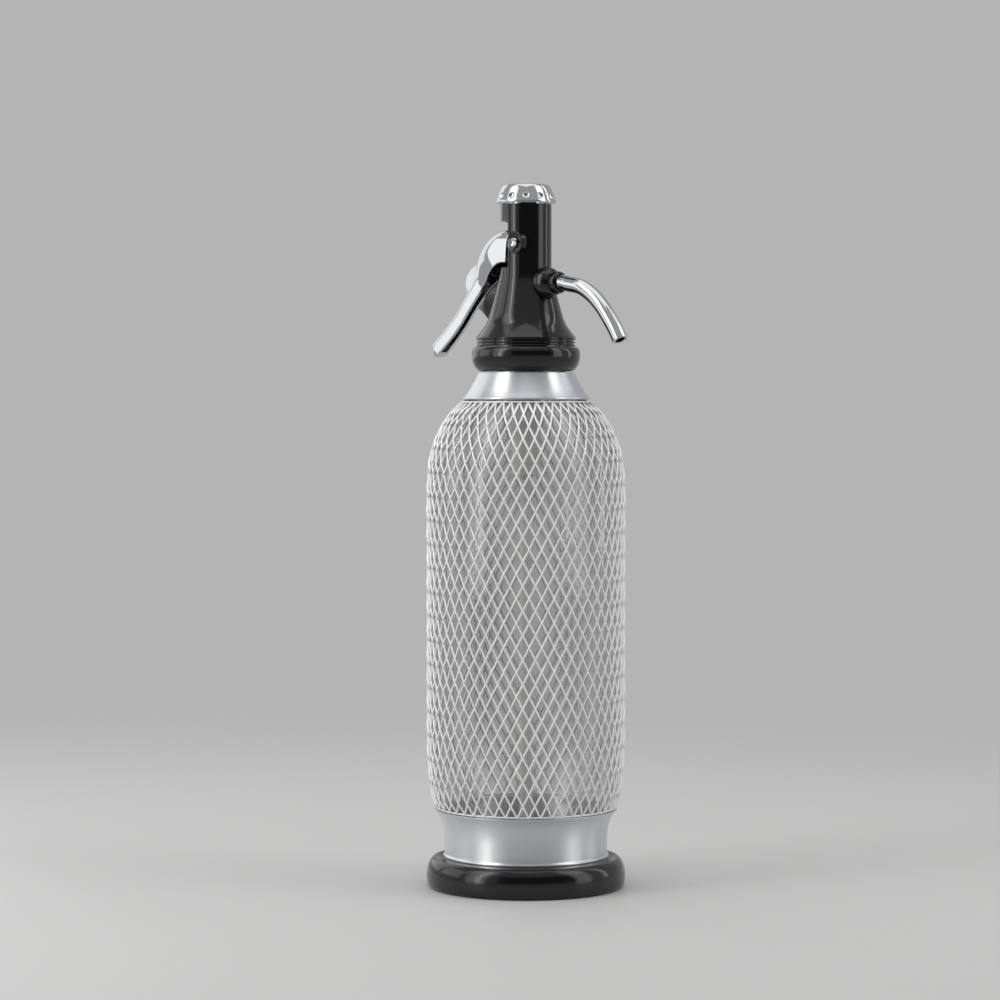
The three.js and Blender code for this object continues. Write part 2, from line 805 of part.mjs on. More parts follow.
function roundSection(radius, sides, boreRadius) {
  const ring = (size) => Array.from({ length: sides }, (_, i) => {
    const angle = 2 * Math.PI * i / sides;
    return new THREE.Vector2(size * Math.cos(angle), size * Math.sin(angle));
  });
  const shape = new THREE.Shape(ring(radius));
  if (boreRadius) shape.holes.push(new THREE.Path(ring(boreRadius)));
  return shape;
}

function valveSpring() {
  const half = springWire / 2;
  const low = chamberBottom + clearance + half;
  const height = plugBottom - clearance - half - low;
  const curve = new Helix(springRadius - half, low, height, springTurns);
  const geometry = new THREE.ExtrudeGeometry(roundSection(half, 5, 0), {
    steps: springTurns * springSteps, extrudePath: curve,
  });
  return part('valve_spring', solid(geometry), steel('#b5b7b9'));
}

function spoutBoss() {
  const geometry = new THREE.SphereGeometry(ballRadius, midSides * 0.75, midSides / 2);
  let body = solid(geometry).translate([ballOffset, 0, ballHeight]);
  const room = skirtOutline.map(([level, radius]) => [radius + clearance, level]);
  const keepOut = turned([
    [0, coverBottom], ...room, [columnRadius + clearance, coverTop], [0, coverTop],
  ], midSides);
  body = body.subtract(keepOut);
  const bore = rod(spoutRadius + clearance, 0, ballOffset + 2 * ballRadius, smallSides);
  body = body.subtract(bore.rotate([0, 90, 0]).translate([0, 0, ballHeight]));
  const nutSeat = ballOffset + ballRadius - nutLength / 2;
  const face = block(
    [nutSeat, -ballRadius, ballHeight - ballRadius],
    [nutSeat + ballRadius, ballRadius, ballHeight + ballRadius],
  );
  return part('spout_boss', body.subtract(face), blackGloss());
}

function spoutNut() {
  const start = ballOffset + ballRadius - nutLength / 2 + clearance;
  const profile = [
    [spoutRadius + clearance, start],
    [nutRadius, start],
    [nutRadius, start + nutLength - nutEdge],
    [nutRadius - nutEdge, start + nutLength],
    [spoutRadius + clearance, start + nutLength],
  ];
  const mesh = part('spout_nut', turned(profile, midSides).rotate([0, 90, 0]), blackGloss());
  mesh.position.set(0, 0, ballHeight);
  return mesh;
}

// Spout centre line, as shares of its reach from the axis and of its drop below the boss
const spoutShares = [
  [0.377, 0], [0.47, 0.036], [0.589, 0.089], [0.706, 0.228], [0.804, 0.414], [0.883, 0.619],
  [0.948, 0.811], [1, 1],
];

function spoutTube() {
  const start = new THREE.Vector3(blockRadius + clearance, 0, 0);
  const points = spoutShares.map(([reach, drop]) => (
    new THREE.Vector3(reach * spoutReach, 0, -drop * spoutDrop)
  ));
  const curve = new THREE.CatmullRomCurve3([start, ...points], false, 'centripetal');
  const geometry = new THREE.ExtrudeGeometry(roundSection(spoutRadius, spoutSides, spoutBore), {
    steps: spoutSteps, extrudePath: curve,
  });
  const mesh = part('spout_tube', solid(geometry), chrome());
  mesh.position.set(0, 0, ballHeight);
  return mesh;
}

// Charger side: everything here is turned on the holder's axis, measured from its base point
function chargerStub() {
  const profile = [
    [0, 0],
    [stubRadius, 0],
    [stubRadius, stubEnd],
    [stubBore, stubEnd],
    [stubBore, stubFloor],
    [0, stubFloor],
  ];
  let body = turned(profile, smallSides);
  body = body.subtract(rod(piercerRadius + clearance, -overrun, stubFloor + overrun, smallSides / 2));
  body = alongHolder(body);
  const room = rod(blockRadius + clearance, coverBottom - overrun, coverTop, midSides);
  return part('charger_stub', body.subtract(room), steel('#a5a8ab'));
}

function onHolder(name, body, material) {
  const mesh = part(name, body, material);
  mesh.position.copy(holderBase());
  mesh.quaternion.setFromUnitVectors(new THREE.Vector3(0, 0, 1), holderDirection());
  return mesh;
}

function piercingPin() {
  const bottom = stubFloor - 2 * piercerReach;
  const body = tube(piercerRadius, piercerBore, bottom, stubFloor + piercerReach, smallSides / 2);
  return onHolder('piercing_pin', body, steel('#d0d2d4'));
}

function stubSeal() {
  const body = tube(stubBore - clearance, piercerRadius + clearance, stubFloor + clearance,
    chargerTip - clearance, smallSides);
  return onHolder('stub_seal', body, siliconeRubber());
}

function holderSleeve() {
  const top = domeStart - clearance;
  const spigotRadius = domeRadius - domeWall - clearance;
  const profile = [
    [stubRadius + clearance, noseStart],
    [noseRadius, noseStart],
    [noseRadius, noseEnd],
    [holderRadius, sleeveStart],
    [holderRadius, top],
    [spigotRadius, top],
    [spigotRadius, top + domeJoint],
    [holderBore, top + domeJoint],
    [holderBore, sleeveStart],
    [stubRadius + clearance, noseEnd - clearance],
  ];
  return onHolder('holder_sleeve', turned(profile, midSides), finish('#26282a', 0.4, 0));
}

// Domed end: a short drum closed by a half ball, hollow to hold the charger's round end
function holderDome() {
  const cavityRadius = domeRadius - domeWall;
  const arcSteps = 5;
  const dome = (radius, reverse) => Array.from({ length: arcSteps + 1 }, (_, i) => {
    const angle = Math.PI / 2 * (reverse ? arcSteps - i : i) / arcSteps;
    return [radius * Math.cos(angle), domeCentre + radius * Math.sin(angle)];
  });
  const outer = dome(domeRadius, false);
  const inner = dome(cavityRadius, true);
  outer[arcSteps][0] = 0;
  inner[0][0] = 0;
  const profile = [[cavityRadius, domeStart], [domeRadius, domeStart], ...outer, ...inner];
  return onHolder('holder_dome', turned(profile, midSides), chrome());
}

// Gas charger's shoulder and domed end: shares of its radius out and along
const shoulderShares = [[0.64, 0.45], [0.82, 0.9], [1, 1.4]];
const endShares = [[1, 1], [0.87, 0.5], [0.5, 0.13], [0, 0]];

function charger() {
  const shoulder = chargerTip + chargerNeck;
  const end = chargerTip + chargerLength;
  const pocket = piercerRadius + clearance;
  const profile = [
    [0, chargerTip + piercerReach + clearance],
    [pocket, chargerTip + piercerReach + clearance],
    [pocket, chargerTip],
    [chargerNeckRadius, chargerTip],
    [chargerNeckRadius, shoulder],
    ...shoulderShares.map(([out, along]) => [chargerRadius * out, shoulder + chargerRadius * along]),
    ...endShares.map(([out, along]) => [chargerRadius * out, end - chargerRadius * along]),
  ];
  return onHolder('charger', turned(profile, smallSides), steel('#c8cacc'));
}

const siphon = new THREE.Group();
siphon.add(
  footBoot(), baseCup(), basePad(), glassBottle(), wireMeshSleeve(), neckShroud(), neckRing(),
  mouthGasket(), measuringTube(), riserTube(), headSocket(), collarRing(), groovedBand(),
  headCover(), topCap(), hingePin(), lever(), valveBlock(), valveSeat(), stemSeal(), valveStem(),
  valvePlug(), valveSpring(), spoutBoss(), spoutNut(), spoutTube(), chargerStub(), piercingPin(),
  stubSeal(), holderSleeve(), holderDome(), charger(),
);

export default siphon;
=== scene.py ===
"""Soda siphon: a Blender add-on that builds the finished pieces of a mesh-covered glass siphon.

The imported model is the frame. Shapes are worked out in millimetres, in the frame's own place,
with +Z up, the spout along +X and the lever along -X.
"""

import json
import math

import bmesh
import bpy
from bpy.props import FloatProperty, FloatVectorProperty, IntProperty, PointerProperty
from bpy.types import Operator, Panel, PropertyGroup
from mathutils import Matrix, Vector


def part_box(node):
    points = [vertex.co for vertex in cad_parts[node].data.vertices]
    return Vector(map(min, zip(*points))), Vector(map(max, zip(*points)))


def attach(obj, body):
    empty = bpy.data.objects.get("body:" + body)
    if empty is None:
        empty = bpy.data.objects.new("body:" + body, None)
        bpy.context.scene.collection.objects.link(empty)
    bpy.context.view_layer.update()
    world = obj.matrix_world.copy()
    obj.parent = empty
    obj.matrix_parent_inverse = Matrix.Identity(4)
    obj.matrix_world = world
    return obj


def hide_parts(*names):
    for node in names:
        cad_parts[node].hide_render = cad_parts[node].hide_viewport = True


bl_info = {
    "name": "Soda siphon",
    "version": (1, 0, 0),
    "blender": (4, 5, 0),
    "location": "3D View > Sidebar > Siphon",
    "description": "Builds the pieces, the finishes and the studio of a soda siphon",
    "category": "Object",
}

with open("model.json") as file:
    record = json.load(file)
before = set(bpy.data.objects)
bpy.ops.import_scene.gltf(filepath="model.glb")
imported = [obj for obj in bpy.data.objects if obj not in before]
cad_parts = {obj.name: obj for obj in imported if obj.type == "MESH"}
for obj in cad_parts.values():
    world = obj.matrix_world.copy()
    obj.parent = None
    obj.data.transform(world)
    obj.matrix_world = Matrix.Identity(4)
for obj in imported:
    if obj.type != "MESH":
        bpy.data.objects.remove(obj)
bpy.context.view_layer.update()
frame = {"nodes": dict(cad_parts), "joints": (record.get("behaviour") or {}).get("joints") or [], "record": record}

MILLIMETRE = 0.001
DOUBLE_POINT, DOUBLE_CUT_POINT = 0.0002, 0.0005  # in millimetres
THREAD_EDGE, TURNED_EDGE, SOFT_EDGE, LEVER_EDGE = 0.0001, 0.0002, 0.0003, 0.0004  # in metres
HINGE_BORE, SPOUT_BORE, STUB_HOLE = 2.7, 4.3, 6.5  # radius of the holes for pin, spout, stub

NODE_SLOTS = {row["node"]: row["material_slot"] for row in frame["record"]["subparts"]}
NODE_BODIES = {
    node: body
    for body, nodes in frame["record"]["behaviour"]["bodies"].items()
    for node in nodes
}


def linear(hex_colour):
    """An sRGB hex colour as the linear colour that Blender's sockets take."""
    shares = [int(hex_colour[i : i + 2], 16) / 255 for i in (1, 3, 5)]
    return [s / 12.92 if s <= 0.04045 else ((s + 0.055) / 1.055) ** 2.4 for s in shares]


def colour_property(name, description, hex_colour):
    """A colour that the sidebar can change."""
    return FloatVectorProperty(
        name=name, description=description, subtype="COLOR", size=3, min=0, max=1,
        default=linear(hex_colour),
    )


def length_property(name, description, millimetres):
    """A length that the sidebar can change."""
    return FloatProperty(
        name=name, description=description, unit="LENGTH", min=0, precision=5,
        default=millimetres * MILLIMETRE,
    )


class SiphonSizes(PropertyGroup):
    """Sizes of the finished pieces that the CAD doesn't fix."""

    wire_diameter: length_property("Wire", "Thickness of one wire of the sleeve", 1.1)
    wire_gap: length_property("Wire lift", "How far a wire moves out to pass over another", 0.25)
    wires: IntProperty(
        name="Wires", description="Wires that wind each way round the bottle", default=50, min=8,
    )
    wire_rows: IntProperty(
        name="Rows", description="Diamonds from the bottom of the sleeve to its top", default=17,
    )
    edge: length_property("Edge", "Rounding of moulded and turned edges", 0.35)
    thread_pitch: length_property("Thread pitch", "Distance between two turns of a thread", 2.5)


class SiphonColours(PropertyGroup):
    """Colours of the siphon's materials and its studio."""

    black_plastic: colour_property("Black plastic", "Collar, band, cover and ball", "#090a0c")
    dark_plastic: colour_property("Dark plastic", "Body of the charger holder", "#242628")
    rubber: colour_property("Rubber", "Foot and pad", "#0c0d0e")
    polished_steel: colour_property("Polished steel", "Base cup and neck shroud", "#dcdee1")
    plain_steel: colour_property("Plain steel", "Threaded rings, stub and charger", "#b4b8bb")
    wire: colour_property("Wire", "Sleeve round the bottle", "#fdfdfd")
    chrome: colour_property("Chrome", "Cap, lever, pin and spout", "#c8c9cb")
    satin_metal: colour_property("Satin metal", "Domed end of the holder", "#d3d4d6")
    brass: colour_property("Brass", "Valve block and seat", "#b98f4a")
    glass: colour_property("Glass", "Bottle", "#e6e6e6")
    silicone: colour_property("Silicone", "Gaskets and seals", "#c9c4b8")
    white_plastic: colour_property("White plastic", "Riser and measuring tube", "#efeeea")
    floor: colour_property("Floor", "Studio floor", "#cfcfce")
    backdrop: colour_property("Backdrop", "Plain surroundings of the studio", "#b4b4b5")


def sizes():
    """The scene's own sizes, in metres."""
    return bpy.context.scene.siphon_sizes


def colours():
    """The scene's own colours."""
    return bpy.context.scene.siphon_colours


# Materials ---------------------------------------------------------------------------------


def add_node(tree, kind, inputs=(), **settings):
    """A node with its settings. An input is a value, or another node's output to link."""
    node = tree.nodes.new(kind)
    for name, value in settings.items():
        setattr(node, name, value)
    for socket, value in dict(inputs).items():
        if isinstance(value, bpy.types.NodeSocket):
            tree.links.new(value, node.inputs[socket])
        else:
            node.inputs[socket].default_value = value
    return node


def blank_tree(owner):
    """The emptied node tree of a material or a world."""
    owner.use_nodes = True
    owner.node_tree.nodes.clear()
    return owner.node_tree


def pattern(tree, size_mm, detail=2.0, stretch=(1, 1, 1)):
    """Noise on the piece's own coordinates, with features of one size in millimetres."""
    place = add_node(tree, "ShaderNodeTexCoord").outputs["Object"]
    stretched = add_node(tree, "ShaderNodeMapping", {"Vector": place, "Scale": stretch})
    noise = add_node(tree, "ShaderNodeTexNoise", {
        "Vector": stretched.outputs["Vector"],
        "Scale": 1 / (size_mm * MILLIMETRE),
        "Detail": detail,
    })
    return noise.outputs["Fac"]


def colour_mix(tree, factor, first, second):
    """A mix of two colours. The numbers are needed where sockets of the node share a name."""
    mix = add_node(tree, "ShaderNodeMix", data_type="RGBA", inputs={
        0: factor, 6: (*first, 1), 7: (*second, 1),
    })
    return mix.outputs[2]


AROUND = (0.02, 0.02, 1)  # turned or drawn lines that run round the upright axis
NOISE_LOW, NOISE_HIGH = 0.3, 0.7  # nearly all of a noise texture lies between these values

# Each slot has its material's name and colour, the even values of its shader, and what varies:
# "roughness" has a pattern with its lowest and highest value, "tint" a pattern with the share by
# which it darkens, "relief" a pattern with its depth in millimetres. A pattern is the size of its
# features in millimetres, and then its detail and stretch where they aren't the usual ones.
FINISHES = {
    # Natural rubber, moulded and wiped clean: black, with a broad soft gloss and a fine grain
    "black_rubber": ("moulded_rubber", "rubber", {"IOR": 1.52}, {
        "roughness": ([4], 0.13, 0.2), "tint": ([5], 0.3), "relief": ([0.6], 0.002),
    }),
    # Stainless steel, spun and polished round its axis, which draws its shine out upright
    "polished_steel": ("polished_stainless_steel", "polished_steel", {
        "Metallic": 1, "Anisotropic": 0.85, "Anisotropic Rotation": 0.25,
    }, {"roughness": ([0.5, 3.0, AROUND], 0.35, 0.4)}),
    # Clear soda-lime bottle glass: smooth outside, slightly wavy from blowing
    "clear_glass": ("blown_bottle_glass", "glass", {
        "IOR": 1.52, "Transmission Weight": 1, "Roughness": 0,
    }, {"relief": ([30, 1.0], 0.03)}),
    # Tinned steel wire: pale and bright, with a few duller spots
    "mesh_wire": ("tinned_steel_wire", "wire", {"Metallic": 0.45}, {
        "roughness": ([2], 0.35, 0.5), "tint": ([7], 0.1),
    }),
    # Stainless steel as it leaves the lathe: fine lines round it and a duller shine
    "plain_steel": ("turned_stainless_steel", "plain_steel", {"Metallic": 1}, {
        "roughness": ([0.4, 3.0, AROUND], 0.24, 0.38), "relief": ([0.3, 3.0, AROUND], 0.003),
    }),
    # Moulded silicone rubber: pale, soft-looking and slightly uneven
    "pale_silicone": ("moulded_silicone", "silicone", {"IOR": 1.41}, {
        "roughness": ([2], 0.45, 0.6), "tint": ([4], 0.1),
    }),
    # Natural polypropylene, extruded or moulded: milky, lets some light through, waxy sheen
    "white_plastic": ("natural_polypropylene", "white_plastic", {
        "IOR": 1.49, "Transmission Weight": 0.2,
    }, {"roughness": ([5], 0.12, 0.2), "tint": ([10], 0.06)}),
    # Glossy black ABS from a polished mould: sharp reflections with a slight waviness
    "black_plastic": ("moulded_black_abs", "black_plastic", {"IOR": 1.53}, {
        "roughness": ([6], 0.09, 0.15), "tint": ([9], 0.2), "relief": ([2.5, 1.0], 0.002),
    }),
    # Bright chrome plate: mirror-like, with faint wiped patches
    "chrome_plate": ("bright_chrome_plate", "chrome", {"Metallic": 1}, {
        "roughness": ([12], 0.05, 0.11), "relief": ([5, 1.0], 0.002),
    }),
    # Brass as it leaves the lathe: warm, with fine lines round it
    "turned_brass": ("turned_brass", "brass", {"Metallic": 1}, {
        "roughness": ([0.5, 3.0, AROUND], 0.22, 0.36), "tint": ([8], 0.25),
        "relief": ([0.4, 3.0, AROUND], 0.003),
    }),
    # Glass-filled nylon from a spark-eroded mould: a fine grain and a soft sheen
    "dark_plastic": ("moulded_nylon", "dark_plastic", {"IOR": 1.53}, {
        "roughness": ([3], 0.3, 0.42), "tint": ([0.8], 0.25), "relief": ([0.5], 0.008),
    }),
    # Bead-blasted metal with satin plate: pale and even, with a very fine grain
    "satin_metal": ("satin_plated_metal", "satin_metal", {"Metallic": 1}, {
        "roughness": ([3], 0.26, 0.34), "relief": ([0.4], 0.003),
    }),
}
made_finishes = {}


def make_finish(name, colour_name, even, varied):
    """A material with one surface shader, whose even values stand on its own sockets."""
    colour = getattr(colours(), colour_name)
    material = bpy.data.materials.new(name)
    tree = blank_tree(material)
    shader = add_node(tree, "ShaderNodeBsdfPrincipled", {"Base Color": (*colour, 1), **even})
    add_node(tree, "ShaderNodeOutputMaterial", {"Surface": shader.outputs["BSDF"]})
    if "roughness" in varied:
        grain, low, high = varied["roughness"]
        ramp = add_node(tree, "ShaderNodeMapRange", {
            "Value": pattern(tree, *grain), "From Min": NOISE_LOW, "From Max": NOISE_HIGH,
            "To Min": low, "To Max": high,
        })
        tree.links.new(ramp.outputs["Result"], shader.inputs["Roughness"])
    if "tint" in varied:
        grain, depth = varied["tint"]
        darker = [c * (1 - depth) for c in colour]
        mixed = colour_mix(tree, pattern(tree, *grain), darker, colour)
        tree.links.new(mixed, shader.inputs["Base Color"])
    if "relief" in varied:
        grain, depth = varied["relief"]
        bump = add_node(tree, "ShaderNodeBump", {
            "Height": pattern(tree, *grain), "Strength": 1.0, "Distance": depth * MILLIMETRE,
        })
        tree.links.new(bump.outputs["Normal"], shader.inputs["Normal"])
    return material


def finish_of(slot):
    """The material of a slot, made once."""
    if slot not in made_finishes:
        made_finishes[slot] = make_finish(*FINISHES[slot])
    return made_finishes[slot]


# Shapes ------------------------------------------------------------------------------------


def size_of(node):
    """Lowest and highest corner of a CAD node, in millimetres."""
    low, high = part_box(node)
    return low / MILLIMETRE, high / MILLIMETRE


def curve_through(rows, steps):
    """A smooth line through rows of numbers, with a few steps from each row to the next."""
    rows = [list(row) for row in rows]
    padded = [rows[0], *rows, rows[-1]]
    line = []
    for before, start, end, after in zip(padded, padded[1:], padded[2:], padded[3:]):
        for step in range(steps):
            t = step / steps
            line.append([
                b + 0.5 * t * (c - a + t * (2 * a - 5 * b + 4 * c - d + t * (3 * (b - c) + d - a)))
                for a, b, c, d in zip(before, start, end, after)
            ])
    line.append(rows[-1])
    return line


def turned(profile, steps=96):
    """A body turned about the upright axis from points of radius and height.

    An edge that lies on the axis is left out, and a profile off the axis is closed into a ring.
    """
    body = bmesh.new()
    points = [body.verts.new((radius, 0, height)) for radius, height in profile]
    edges = [body.edges.new((a, b)) for a, b in zip(points, points[1:]) if a.co.x or b.co.x]
    if profile[0][0] > 0 or profile[-1][0] > 0:
        edges.append(body.edges.new((points[-1], points[0])))
    bmesh.ops.spin(
        body, geom=points + edges, cent=(0, 0, 0), axis=(0, 0, 1), angle=math.tau, steps=steps,
        use_merge=True,
    )
    bmesh.ops.remove_doubles(body, verts=body.verts, dist=DOUBLE_POINT)
    bmesh.ops.recalc_face_normals(body, faces=body.faces)
    return body


def wound(profile, turns, pitch, start, steps=48):
    """A screw thread: a small profile wound upwards about the upright axis."""
    body = bmesh.new()
    points = [body.verts.new((radius, 0, start + height)) for radius, height in profile]
    edges = [body.edges.new(pair) for pair in zip(points, points[1:] + points[:1])]
    count = round(turns * steps)
    bmesh.ops.spin(
        body, geom=points + edges, cent=(0, 0, 0), axis=(0, 0, 1), angle=math.tau * turns,
        steps=count, dvec=(0, 0, pitch * turns / count),
    )
    bmesh.ops.holes_fill(body, edges=body.edges, sides=len(profile))
    bmesh.ops.recalc_face_normals(body, faces=body.faces)
    return body


def rod(radius, bottom, top, steps=48):
    """An upright round bar."""
    return turned([[0, bottom], [radius, bottom], [radius, top], [0, top]], steps)


def ring_of_points(count, radius, height=0, start=0.0):
    """Points spaced evenly round the upright axis, from a start given as a share of a space."""
    angles = [math.tau * (i + start) / count for i in range(count)]
    return [(radius * math.cos(a), radius * math.sin(a), height) for a in angles]


def joined(*bodies):
    """Several bodies in one mesh."""
    whole = bmesh.new()
    for body in bodies:
        data = bpy.data.meshes.new("part_of_piece")
        body.to_mesh(data)
        body.free()
        whole.from_mesh(data)
        bpy.data.meshes.remove(data)
    return whole


def add_object(name, body, material=None):
    """Puts a body, which is used up, in the scene as an object of its own."""
    data = bpy.data.meshes.new(name)
    body.to_mesh(data)
    body.free()
    if material:
        data.materials.append(material)
    item = bpy.data.objects.new(name, data)
    bpy.context.scene.collection.objects.link(item)
    return item


def combined(body, tool, operation):
    """The body after a boolean with a tool: DIFFERENCE, INTERSECT or UNION. Both are used up."""
    base, cutter = holders = [add_object("working_shape", shape) for shape in (body, tool)]
    modifier = base.modifiers.new("combine", "BOOLEAN")
    modifier.object = cutter
    modifier.operation = operation
    modifier.solver = "EXACT"
    result = bmesh.new()
    result.from_object(base, bpy.context.evaluated_depsgraph_get())
    bmesh.ops.remove_doubles(result, verts=result.verts, dist=DOUBLE_CUT_POINT)
    for holder in holders:
        data = holder.data
        bpy.data.objects.remove(holder)
        bpy.data.meshes.remove(data)
    return result


def moved(body, matrix):
    """The body itself, once it has been moved and turned."""
    bmesh.ops.transform(body, matrix=matrix, verts=body.verts)
    return body


def circle(centre, radius, first, second, sides):
    """Points of a circle that starts at one direction and turns towards the other."""
    turns = [math.tau * k / sides for k in range(sides)]
    return [centre + radius * (first * math.cos(t) + second * math.sin(t)) for t in turns]


def swept(rings):
    """A skin over a row of rings that hold the same number of points."""
    body = bmesh.new()
    before = None
    for ring in rings:
        points = [body.verts.new(point) for point in ring]
        edges = [body.edges.new(pair) for pair in zip(points, points[1:] + points[:1])]
        if before:
            bmesh.ops.bridge_loops(body, edges=before + edges)
        before = edges
    bmesh.ops.recalc_face_normals(body, faces=body.faces)
    return body


def add_piece(name, body, node, bevel=0.0, wall=0.0, sharp=35):
    """Makes a body in millimetres a finished piece that stands for a CAD node and rides with it.

    The bevel is in metres, the wall's thickness in millimetres and the sharp angle in degrees.
    """
    bmesh.ops.scale(body, vec=(MILLIMETRE,) * 3, verts=body.verts)
    piece = add_object(name, body, finish_of(NODE_SLOTS[node]))
    piece.data.shade_smooth()
    piece.data.set_sharp_from_angle(angle=math.radians(sharp))
    if wall:
        shell = piece.modifiers.new("wall", "SOLIDIFY")
        shell.thickness = wall * MILLIMETRE
        shell.offset = -1
        shell.use_even_offset = True
    if bevel:
        edge = piece.modifiers.new("edge", "BEVEL")
        edge.width = bevel
        edge.segments = 3
        edge.limit_method = "ANGLE"
        edge.angle_limit = math.radians(sharp)
    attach(piece, NODE_BODIES[node])
    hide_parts(node)
    return piece


def dress(*nodes):
    """Gives CAD nodes that stay as they are the finish of their slot."""
    for node in nodes:
        data = frame["nodes"][node].data
        data.materials.clear()
        data.materials.append(finish_of(NODE_SLOTS[node]))


# Pieces ------------------------------------------------------------------------------------


class SIPHON_OT_foot_and_cup(Operator):
    """Rubber foot and the polished cup that stands in it"""

    bl_idname = "siphon.foot_and_cup"
    bl_label = "Foot and base cup"

    def execute(self, context):
        _, high = size_of("foot_boot")
        radius, top = high.y, high.z
        low_cup, high_cup = size_of("base_cup")
        floor, rim = low_cup.z, high_cup.z
        waist = radius - 9.1
        outer = curve_through([
            [radius - 2.6, 0], [radius - 0.8, 1], [radius, 4], [radius, 7.6], [radius - 0.7, 11.2],
            [radius - 2, 13.8], [radius - 3.8, top], [radius - 5.6, top - 0.2],
            [radius - 7.4, top - 1], [waist, top - 2.1],
        ], 4)
        gap = 0.3
        profile = [[0, 0], *outer, [waist, floor - gap], [0, floor - gap]]
        add_piece("rubber_foot", turned(profile, 144), "foot_boot")

        waist -= gap
        flare = high_cup.y - waist
        height = rim - floor
        wall = curve_through([
            [waist, floor + 14.3], [waist, floor + height * 0.5],
            [waist + 0.05 * flare, floor + height * 0.68],
            [waist + 0.22 * flare, floor + height * 0.8],
            [waist + 0.54 * flare, floor + height * 0.905], [waist + flare, rim],
        ], 5)
        bead = [
            [waist, floor], [waist, floor + 12.3], [waist + 0.55, floor + 12.5],
            [waist + 0.85, floor + 13], [waist + 0.85, floor + 13.4],
            [waist + 0.55, floor + 13.9],
        ]
        sheet = 1
        inside = [[r - sheet, z] for r, z in reversed(wall)]
        profile = [
            [0, floor], *bead, *wall, *inside, [waist - sheet, floor + sheet], [0, floor + sheet],
        ]
        add_piece("base_cup_shell", turned(profile, 144), "base_cup", bevel=sizes().edge)
        dress("base_pad")
        return {"FINISHED"}


def body_line():
    """Radius and height of the sleeve's outside, from its foot to the neck."""
    low, high = size_of("wire_mesh_sleeve")
    widest = high.y
    rows = [
        [0.917, 0], [0.965, 0.045], [0.996, 0.13], [1, 0.24], [1, 0.35], [1, 0.46], [1, 0.57],
        [1, 0.68], [1, 0.78], [0.976, 0.86], [0.896, 0.92], [0.791, 0.965], [0.6526, 1],
    ]
    return [[share * widest, low.z + rise * (high.z - low.z)] for share, rise in rows]


def radius_at(line, height):
    """Radius at a height on a line that runs upwards."""
    for (r0, z0), (r1, z1) in zip(line, line[1:]):
        if z0 <= height <= z1:
            return r0 + (r1 - r0) * (height - z0) / (z1 - z0)
    return line[0][0] if height < line[0][1] else line[-1][0]


class SIPHON_OT_bottle(Operator):
    """Clear bottle with the tubes that hang in it"""

    bl_idname = "siphon.bottle"
    bl_label = "Glass bottle and tubes"

    def execute(self, context):
        low, high = size_of("glass_bottle")
        bottom, top = low.z, high.z
        sleeve_room = 1.75
        body = [[r - sleeve_room, z] for r, z in body_line()]
        foot = [
            [28, bottom], [35, bottom + 0.6], [39.5, bottom + 3.2], [41, bottom + 8],
            [41, bottom + 21.5], [42, bottom + 27], [43.6, bottom + 31],
        ]
        shoulder = [[25.2, top - 18.4], [19.8, top - 14.4], [18.5, top - 11.5]]
        outer = curve_through([*foot, *body, *shoulder], 4)
        skin = [[0, bottom + 1.6], [16, bottom + 1.2], *outer, [18.5, top]]
        wall = 3.5
        inside = curve_through([
            [0, bottom + 8], [18, bottom + 6.4], [33, bottom + 5.4], [36.5, bottom + 8],
            [37.5, bottom + 14], [37.6, bottom + 23], [38.6, bottom + 28],
            *[[r - wall, z] for r, z in body[:-1]], [28.2, top - 23.2], [21.6, top - 18],
            [16.6, top - 14], [15.6, top - 11],
        ], 3)
        inside[0][0] = 0
        profile = [*skin, [15.6, top], *reversed(inside)]
        bottle = add_piece("bottle_glass", turned(profile, 128), "glass_bottle",
                           bevel=sizes().edge)
        bottle.visible_shadow = False  # clear glass lets the lamps light what is inside it

        low, high = size_of("riser_tube")
        outside, bore = high.y, high.y - 1
        profile = [[bore, low.z], [outside, low.z], [outside, high.z], [bore, high.z]]
        add_piece("riser", turned(profile, 32), "riser_tube", bevel=TURNED_EDGE)

        low, high = size_of("measuring_tube")
        tube, bore, flange = 7.6, 6.8, high.z - 1.3
        profile = [
            [bore, low.z], [tube, low.z], [tube, flange], [high.y, flange], [high.y, high.z],
            [bore, high.z],
        ]
        port, past, port_ring = 2, 2, 11.6
        ports = [
            moved(rod(port, flange - past, high.z + past, 24), Matrix.Translation(point))
            for point in ring_of_points(4, port_ring)
        ]
        body = combined(turned(profile, 64), joined(*ports), "DIFFERENCE")
        add_piece("measuring_cup_tube", body, "measuring_tube", bevel=TURNED_EDGE)
        dress("mouth_gasket")
        return {"FINISHED"}


WIRE_SIDES = 5


